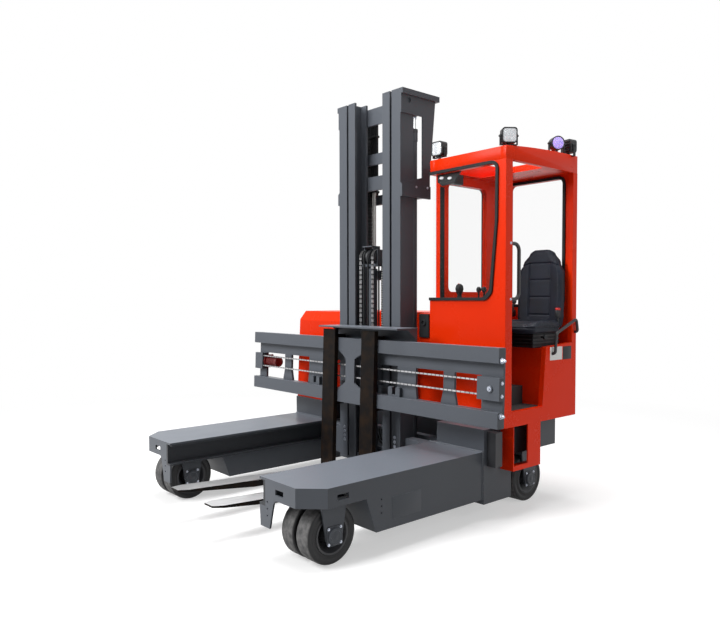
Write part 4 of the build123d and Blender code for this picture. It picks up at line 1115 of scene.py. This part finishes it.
def stuffed(piece, cap, settings):
    # remeshed, blown up a little as cloth with a limit on the swelling, then smoothed
    modify(piece, "REMESH", mode="VOXEL", voxel_size=settings["voxel"])
    modify(piece, "SMOOTH", factor=0.5, iterations=6)
    scene = bpy.context.scene
    before = [vertex.co.copy() for vertex in piece.data.vertices]
    puff = piece.modifiers.new("puff", "CLOTH")
    puff.settings.use_pressure = True
    puff.settings.uniform_pressure_force = settings["pressure"]
    puff.settings.effector_weights.gravity = 0.0
    puff.point_cache.frame_end = settings["frames"]
    for step in range(1, settings["frames"] + 1):
        scene.frame_set(step)
    shown = piece.evaluated_get(bpy.context.evaluated_depsgraph_get())
    after = [vertex.co.copy() for vertex in shown.data.vertices]
    piece.modifiers.remove(puff)
    scene.frame_set(1)
    for vertex, was, now in zip(piece.data.vertices, before, after):
        shift = now - was
        vertex.co = was + shift * min(1.0, cap / max(shift.length, 1e-9))
    modify(piece, "SUBSURF", levels=1)


def sewn(piece, distances, settings):
    # pulls the surface in along each seam; a distance gives how far a point is from its seam
    for distance in distances:
        normals = [vertex.normal.copy() for vertex in piece.data.vertices]
        for vertex, normal in zip(piece.data.vertices, normals):
            near = distance(vertex.co) / settings["seamWidth"]
            if near < 3.0:
                vertex.co -= normal * settings["seamDepth"] * math.exp(-near * near)
    piece.data.shade_smooth()


def halfWidth(height, table):
    for (wide, low), (after, high) in zip(table, table[1:]):
        if height <= high:
            t = past(height, low, high)
            t = t * t * (3 - 2 * t)
            return wide + (after - wide) * t
    return table[-1][0]


def makeSeatBack(settings):
    table = settings["half"]
    low, high = table[0][1], table[-1][1]
    middle, front, depth = settings["middle"], settings["backFront"], settings["backDepth"]
    fadeFrom, fadeTo = settings["bolsterTop"]
    pivot = Vector((0.0, front, settings["low"]))
    turn = Matrix.Rotation(math.radians(settings["lean"]), 4, "X")
    tip = Matrix.Translation(pivot) @ turn @ Matrix.Translation(-pivot)

    def place(side, v, u):
        height = low + (high - low) * v
        fade = max(0.0, 1.0 - past(height, fadeFrom, fadeTo))
        rise = settings["bolster"] * past(abs(u), 0.42, 1.0) ** 0.8 * fade
        roll = 0.016 * past(abs(u), 0.86, 1.0) ** 2
        y = front - rise + roll if side == 0 else front + depth - 0.018 * abs(u) ** 3
        return tip @ Vector((middle + u * halfWidth(height, table), y, settings["low"] + height))

    piece = pad(44, 24, place).made("seat_back_pad", "truck", "seat_cover")
    stuffed(piece, settings["backCap"], settings)
    panel, levels = settings["panelHalf"], settings["panelZ"]

    def nearUpright(co):
        inside = levels[0] - 0.02 < co.z < levels[-1] + 0.004
        return abs(abs(co.x - middle) - panel) if inside and co.y < front + 0.02 else 1.0

    def nearLevel(co):
        level = min(levels, key=lambda z: abs(co.z - z))
        return abs(co.z - level) if abs(co.x - middle) < panel and co.y < front + 0.02 else 1.0

    def nearShoulder(co):
        # from the panel's upper corners out to the shoulders
        out = abs(co.x - middle) - panel
        line = levels[-1] - 0.30 * out
        return abs(co.z - line) if 0.0 < out < 0.12 and co.y < front + 0.03 else 1.0

    sewn(piece, (nearUpright, nearLevel, nearShoulder), settings)
    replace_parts(piece, "seat_back")


def makeSeatCushion(settings):
    low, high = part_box("seat_cushion")
    middle, base = settings["middle"] + settings["cushionShift"], low.z + 0.004
    front, rear, top = low.y + 0.006, high.y - 0.006, high.z - 0.010
    half = 0.5 * (high.x - low.x) - 0.008

    def place(side, v, u):
        nose = 1.0 - 0.10 * abs(u) ** 4
        bolster = 0.016 * past(abs(u), 0.55, 1.0) ** 0.9 - 0.014 * past(abs(u), 0.88, 1.0) ** 2
        fall = 0.034 * past(v, 0.72, 1.0) ** 2.2
        z = top - 0.018 + bolster - fall if side == 0 else base + 0.004 * abs(u) ** 3
        return (middle + u * half, rear - (rear - front) * v * nose, z)

    piece = pad(30, 34, place).made("seat_cushion_pad", "truck", "seat_cover")
    stuffed(piece, settings["cushionCap"], settings)
    seamX, seamY = settings["seamX"], front + settings["noseSeam"]

    def nearSide(co):
        return abs(abs(co.x - middle) - seamX) if co.z > base + 0.05 else 1.0

    def nearNose(co):
        return abs(co.y - seamY) if abs(co.x - middle) < seamX and co.z > base + 0.05 else 1.0

    def nearSkirt(co):
        return abs(co.z - (base + settings["skirtSeam"]))

    sewn(piece, (nearSide, nearNose, nearSkirt), settings)
    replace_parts(piece, "seat_cushion")


makeSeatCushion(seatSettings)
makeSeatBack(seatSettings)

beltSettings = {"stalk": ((1.168, 1.135, 1.320), (1.168, 1.132, 1.380), (1.164, 1.136, 1.440)),
                "radius": 0.008, "buckle": (1.163, 1.137, 1.452), "knob": (1.186, 0.930, 1.262)}


def makeBelt(settings):
    stalk, buckle, knob = Shape(), Shape(), Shape()
    stalk.bar(smoothLine(settings["stalk"]), settings["radius"], 12)
    x, y, z = settings["buckle"]
    stalk.box((x - 0.012, y - 0.024, z - 0.050), (x + 0.012, y + 0.024, z + 0.008), 0.004)
    buckle.box((x - 0.0105, y - 0.020, z + 0.004), (x + 0.0105, y + 0.020, z + 0.024), 0.004)
    stalk.made("belt_stalk", "truck", "black_plastic")
    buckle.made("belt_button", "truck", "black_plastic", "buckle_red")
    x, y, z = settings["knob"]
    knob.bar([(x - 0.030, y, z), (x - 0.004, y, z)], 0.007, 12)
    knob.turned([(-0.006, 0.016), (-0.002, 0.019), (0.010, 0.019), (0.014, 0.015)], (x, y, z), alongX, 24)
    knob.made("seat_adjuster", "truck", "black_plastic")


makeBelt(beltSettings)
print("seat made")


# controls: the desk under the window and the levers beside the seat

consoleSettings = {"inner": 0.552, "right": 0.960, "front": 0.459, "rear": 0.650, "top": 1.540,
                   "floor": 0.891, "joystick": (0.701, 0.540), "levers": ((0.880, 0.545), (0.930, 0.545)),
                   "display": (0.790, 0.608, 1.446), "displayLean": -36.0,
                   "wheel": (0.950, 0.690, 1.500), "wheelRadius": 0.105, "rim": 0.010, "lean": -28.0}


def steeringWheel(controls, settings):
    # three spokes, a hub, a column and a spinner knob
    wheel, radius, rim = settings["wheel"], settings["wheelRadius"], settings["rim"]
    place = Matrix.Translation(wheel) @ Matrix.Rotation(math.radians(settings["lean"]), 4, "X")
    up = place.to_3x3() @ Vector(alongZ)
    section = [(rim * b, radius + rim * a) for a, b in circle(1.0, 16)]
    controls.turned(section, wheel, up, 56, ring=True)
    for spoke in range(3):
        turn = place @ Matrix.Rotation(math.radians(90.0 + 120.0 * spoke), 4, "Z")
        controls.box((0.010, -0.010, -0.004), (radius - 0.005, 0.010, 0.004), 0.003, turn)
    controls.turned([(-0.010, 0.024), (0.006, 0.024), (0.010, 0.018)], wheel, up, 32)
    spinner = [(0.006, 0.005), (0.030, 0.005), (0.036, 0.015), (0.050, 0.018), (0.062, 0.012), (0.066, 0.003)]
    knob = place @ Matrix.Rotation(math.radians(20.0), 4, "Z") @ Vector((radius, 0, 0))
    controls.turned(spinner, knob, up, 24)
    controls.turned([(-0.250, 0.016), (-0.008, 0.016)], wheel, up, 24)


def makeConsole(settings):
    desk, controls, screen, marks = Shape(), Shape(), Shape(), Shape()
    front, rear, top, floor = (settings[name] for name in ("front", "rear", "top", "floor"))
    side = [(front, floor), (rear - 0.030, floor), (rear, top - 0.160), (rear - 0.090, top - 0.040),
            (front, top)]
    desk.prism(side, "x", settings["inner"], settings["right"], 0.006)
    x, y = settings["joystick"]
    grip = [(0.0, 0.044), (0.010, 0.042), (0.040, 0.020), (0.066, 0.016), (0.082, 0.024), (0.110, 0.031),
            (0.134, 0.026), (0.146, 0.014), (0.149, 0.004)]
    controls.turned(grip, (x, y, top - 0.030), alongZ, 32)
    marks.turned([(0.0, 0.007), (0.004, 0.006)], (x, y - 0.010, top + 0.117), alongZ, 16)
    lever = [(0.0, 0.014), (0.022, 0.007), (0.110, 0.007), (0.122, 0.016), (0.136, 0.018), (0.150, 0.012),
             (0.154, 0.003)]
    for x, y in settings["levers"]:
        controls.turned(lever, (x, y, top - 0.060), alongZ, 24)
    # the display lies on the slope between the stick and the levers
    turn = Matrix.Rotation(math.radians(settings["displayLean"]), 4, "X")
    slope = Matrix.Translation(settings["display"]) @ turn
    screen.box((-0.055, -0.004, -0.034), (0.055, 0.010, 0.034), 0.003, slope)
    steeringWheel(controls, settings)
    for shape, name, slot, finish in ((desk, "console_desk", "black_plastic", None),
                                      (controls, "console_controls", "black_plastic", "seal_rubber"),
                                      (screen, "console_display", "glass", "display"),
                                      (marks, "joystick_button", "black_plastic", "buckle_red")):
        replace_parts(shape.made(name, "truck", slot, finish), "console")


makeConsole(consoleSettings)

# each lever has its place and its height
podSettings = {"low": (0.553, 1.050, 1.400), "high": (0.722, 1.225, 1.455),
               "levers": ((0.690, 1.120, 0.230), (0.655, 1.165, 0.150))}


def makeLeverPod(settings):
    # a shelf on the inner wall beside the seat, with two levers that end in ball knobs
    pod = Shape().box(settings["low"], settings["high"], 0.012)
    for x, y, rise in settings["levers"]:
        knob = [(rise - 0.028, 0.014), (rise - 0.014, 0.020), (rise, 0.014), (rise + 0.004, 0.003)]
        stem = [(-0.004, 0.016), (0.012, 0.008), (rise - 0.030, 0.006)]
        pod.turned(stem + knob, (x, y, settings["high"][2]), alongZ, 24)
    pod.made("lever_pod", "truck", "black_plastic")


makeLeverPod(podSettings)


# roof, hood and cab fittings

roofSettings = {"rim": 0.045, "lap": 0.002, "deck": 0.004, "opening": ((0.600, 1.168), (0.472, 0.913)),
                "low": 2.500, "front": 2.588, "rise": 0.042, "steps": 16}


def makeRoof(settings):
    # a rim of folded sheet round a sunk deck with its opening, the rear a little higher
    low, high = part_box("cab_roof")
    rim, base, steps = settings["rim"], settings["low"], settings["steps"]
    (left, right), (front, rear) = settings["opening"]

    def crest(y):
        # through the front edge, the crown and the rear edge
        t = (y - low.y) / (high.y - low.y)
        return settings["front"] + settings["rise"] * t * (2.2 - 1.2 * t)

    lengthwise = [low.y + (high.y - low.y) * step / steps for step in range(steps + 1)]
    side = [(y, crest(y)) for y in lengthwise] + [(high.y, base), (low.y, base)]
    shape = Shape()
    for near in (low.x, high.x - rim):
        shape.prism(side, "x", near, near + rim, 0.003)
    inset = rim - settings["lap"]
    x0, x1, y0, y1 = low.x + inset, high.x - inset, low.y + inset, high.y - inset
    for near, far in ((low.y, low.y + rim), (high.y - rim, high.y)):
        end = [(near, crest(near)), (far, crest(far)), (far, base), (near, base)]
        shape.prism(end, "x", x0, x1, 0.003)
    top = base + settings["deck"]
    shape.box((x0, rear, base), (x1, y1, top))
    if left > x0:
        shape.box((x0, y0, base), (left, rear, top))
    if front > y0:
        shape.box((left, y0, base), (right, front, top))
    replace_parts(shape.made("roof_frame", "truck", "body_paint"), "cab_roof")


makeRoof(roofSettings)

hoodSettings = {"rear": 1.250, "left": -1.104, "slots": 9, "slotPitch": 0.034, "slotLow": 0.980,
                "rearSlots": ((-0.930, -0.640), (-0.580, -0.290)), "leftSlots": (0.560, 0.900),
                "latches": ((-0.700, 1.395), (0.250, 1.395))}


def makeHoodFittings(settings):
    # pressed louvres for the power unit's air at the rear and the left, and two paddle latches
    slats, latches = Shape(), Shape()
    rear, left = settings["rear"], settings["left"]
    for step in range(settings["slots"]):
        z = settings["slotLow"] + step * settings["slotPitch"]
        wedge = [(0.0, z), (0.009, z + 0.002), (0.0, z + 0.018)]
        for low, high in settings["rearSlots"]:
            slats.prism([(rear + a, b) for a, b in wedge], "x", low, high)
        slats.prism([(left - a, b) for a, b in wedge], "y", *settings["leftSlots"])
    slats.made("hood_louvres", "truck", "body_paint")
    for x, z in settings["latches"]:
        latches.box((x - 0.055, rear, z - 0.022), (x + 0.055, rear + 0.004, z + 0.022), 0.002)
        latches.box((x - 0.045, rear + 0.004, z - 0.015), (x + 0.030, rear + 0.010, z + 0.015), 0.003)
    latches.made("hood_latches", "truck", "black_plastic")


makeHoodFittings(hoodSettings)

cabSettings = {"outer": 1.214, "plate": ((0.957, 1.118), (1.090, 1.188)), "plateThick": 0.0015,
               "darkPlate": ((1.128, 1.241), (1.088, 1.186)), "bar": (1.194, 0.493), "barZ": (1.543, 1.929),
               "lights": ((0.593, 2.452), (0.673, 2.441)), "lightY": (0.455, 0.460),
               "lightHalf": (0.020, 0.010)}


def makeCabFittings(settings):
    # blank plates, flanges and bolts of the grab bar, ceiling lights
    white, dark, flanges, bolts, lights = (Shape() for _ in range(5))
    face = settings["outer"]
    for shape, name in ((white, "plate"), (dark, "darkPlate")):
        (front, rear), (low, high) = settings[name]
        shape.box((face, front, low), (face + settings["plateThick"], rear, high), 0.0006)
    white.made("blank_plate_white", "truck", "body_paint", "plate_white")
    dark.made("blank_plate_dark", "truck", "body_paint", "black_plastic")
    x, y = settings["bar"]
    for z in settings["barZ"]:
        flanges.turned([(0.0, 0.022), (0.004, 0.022), (0.006, 0.016), (0.012, 0.0155)], (x, y, z), alongY, 28)
        bolts.bolt((x + 0.0195, y - 0.016, z), alongX, 0.010)
    flanges.made("grab_bar_flanges", "truck", "black_metal")
    bolts.made("cab_bolts", "truck", "bright_steel", "zinc_bolt")
    wide, tall = settings["lightHalf"]
    for x, z in settings["lights"]:
        lights.prism([(x + wide * a, z + tall * b) for a, b in circle(1.0, 24)], "y", *settings["lightY"])
    lights.made("ceiling_lights", "truck", "lamp_glass", "white_bowl")


makeCabFittings(cabSettings)
print("cab dressed")
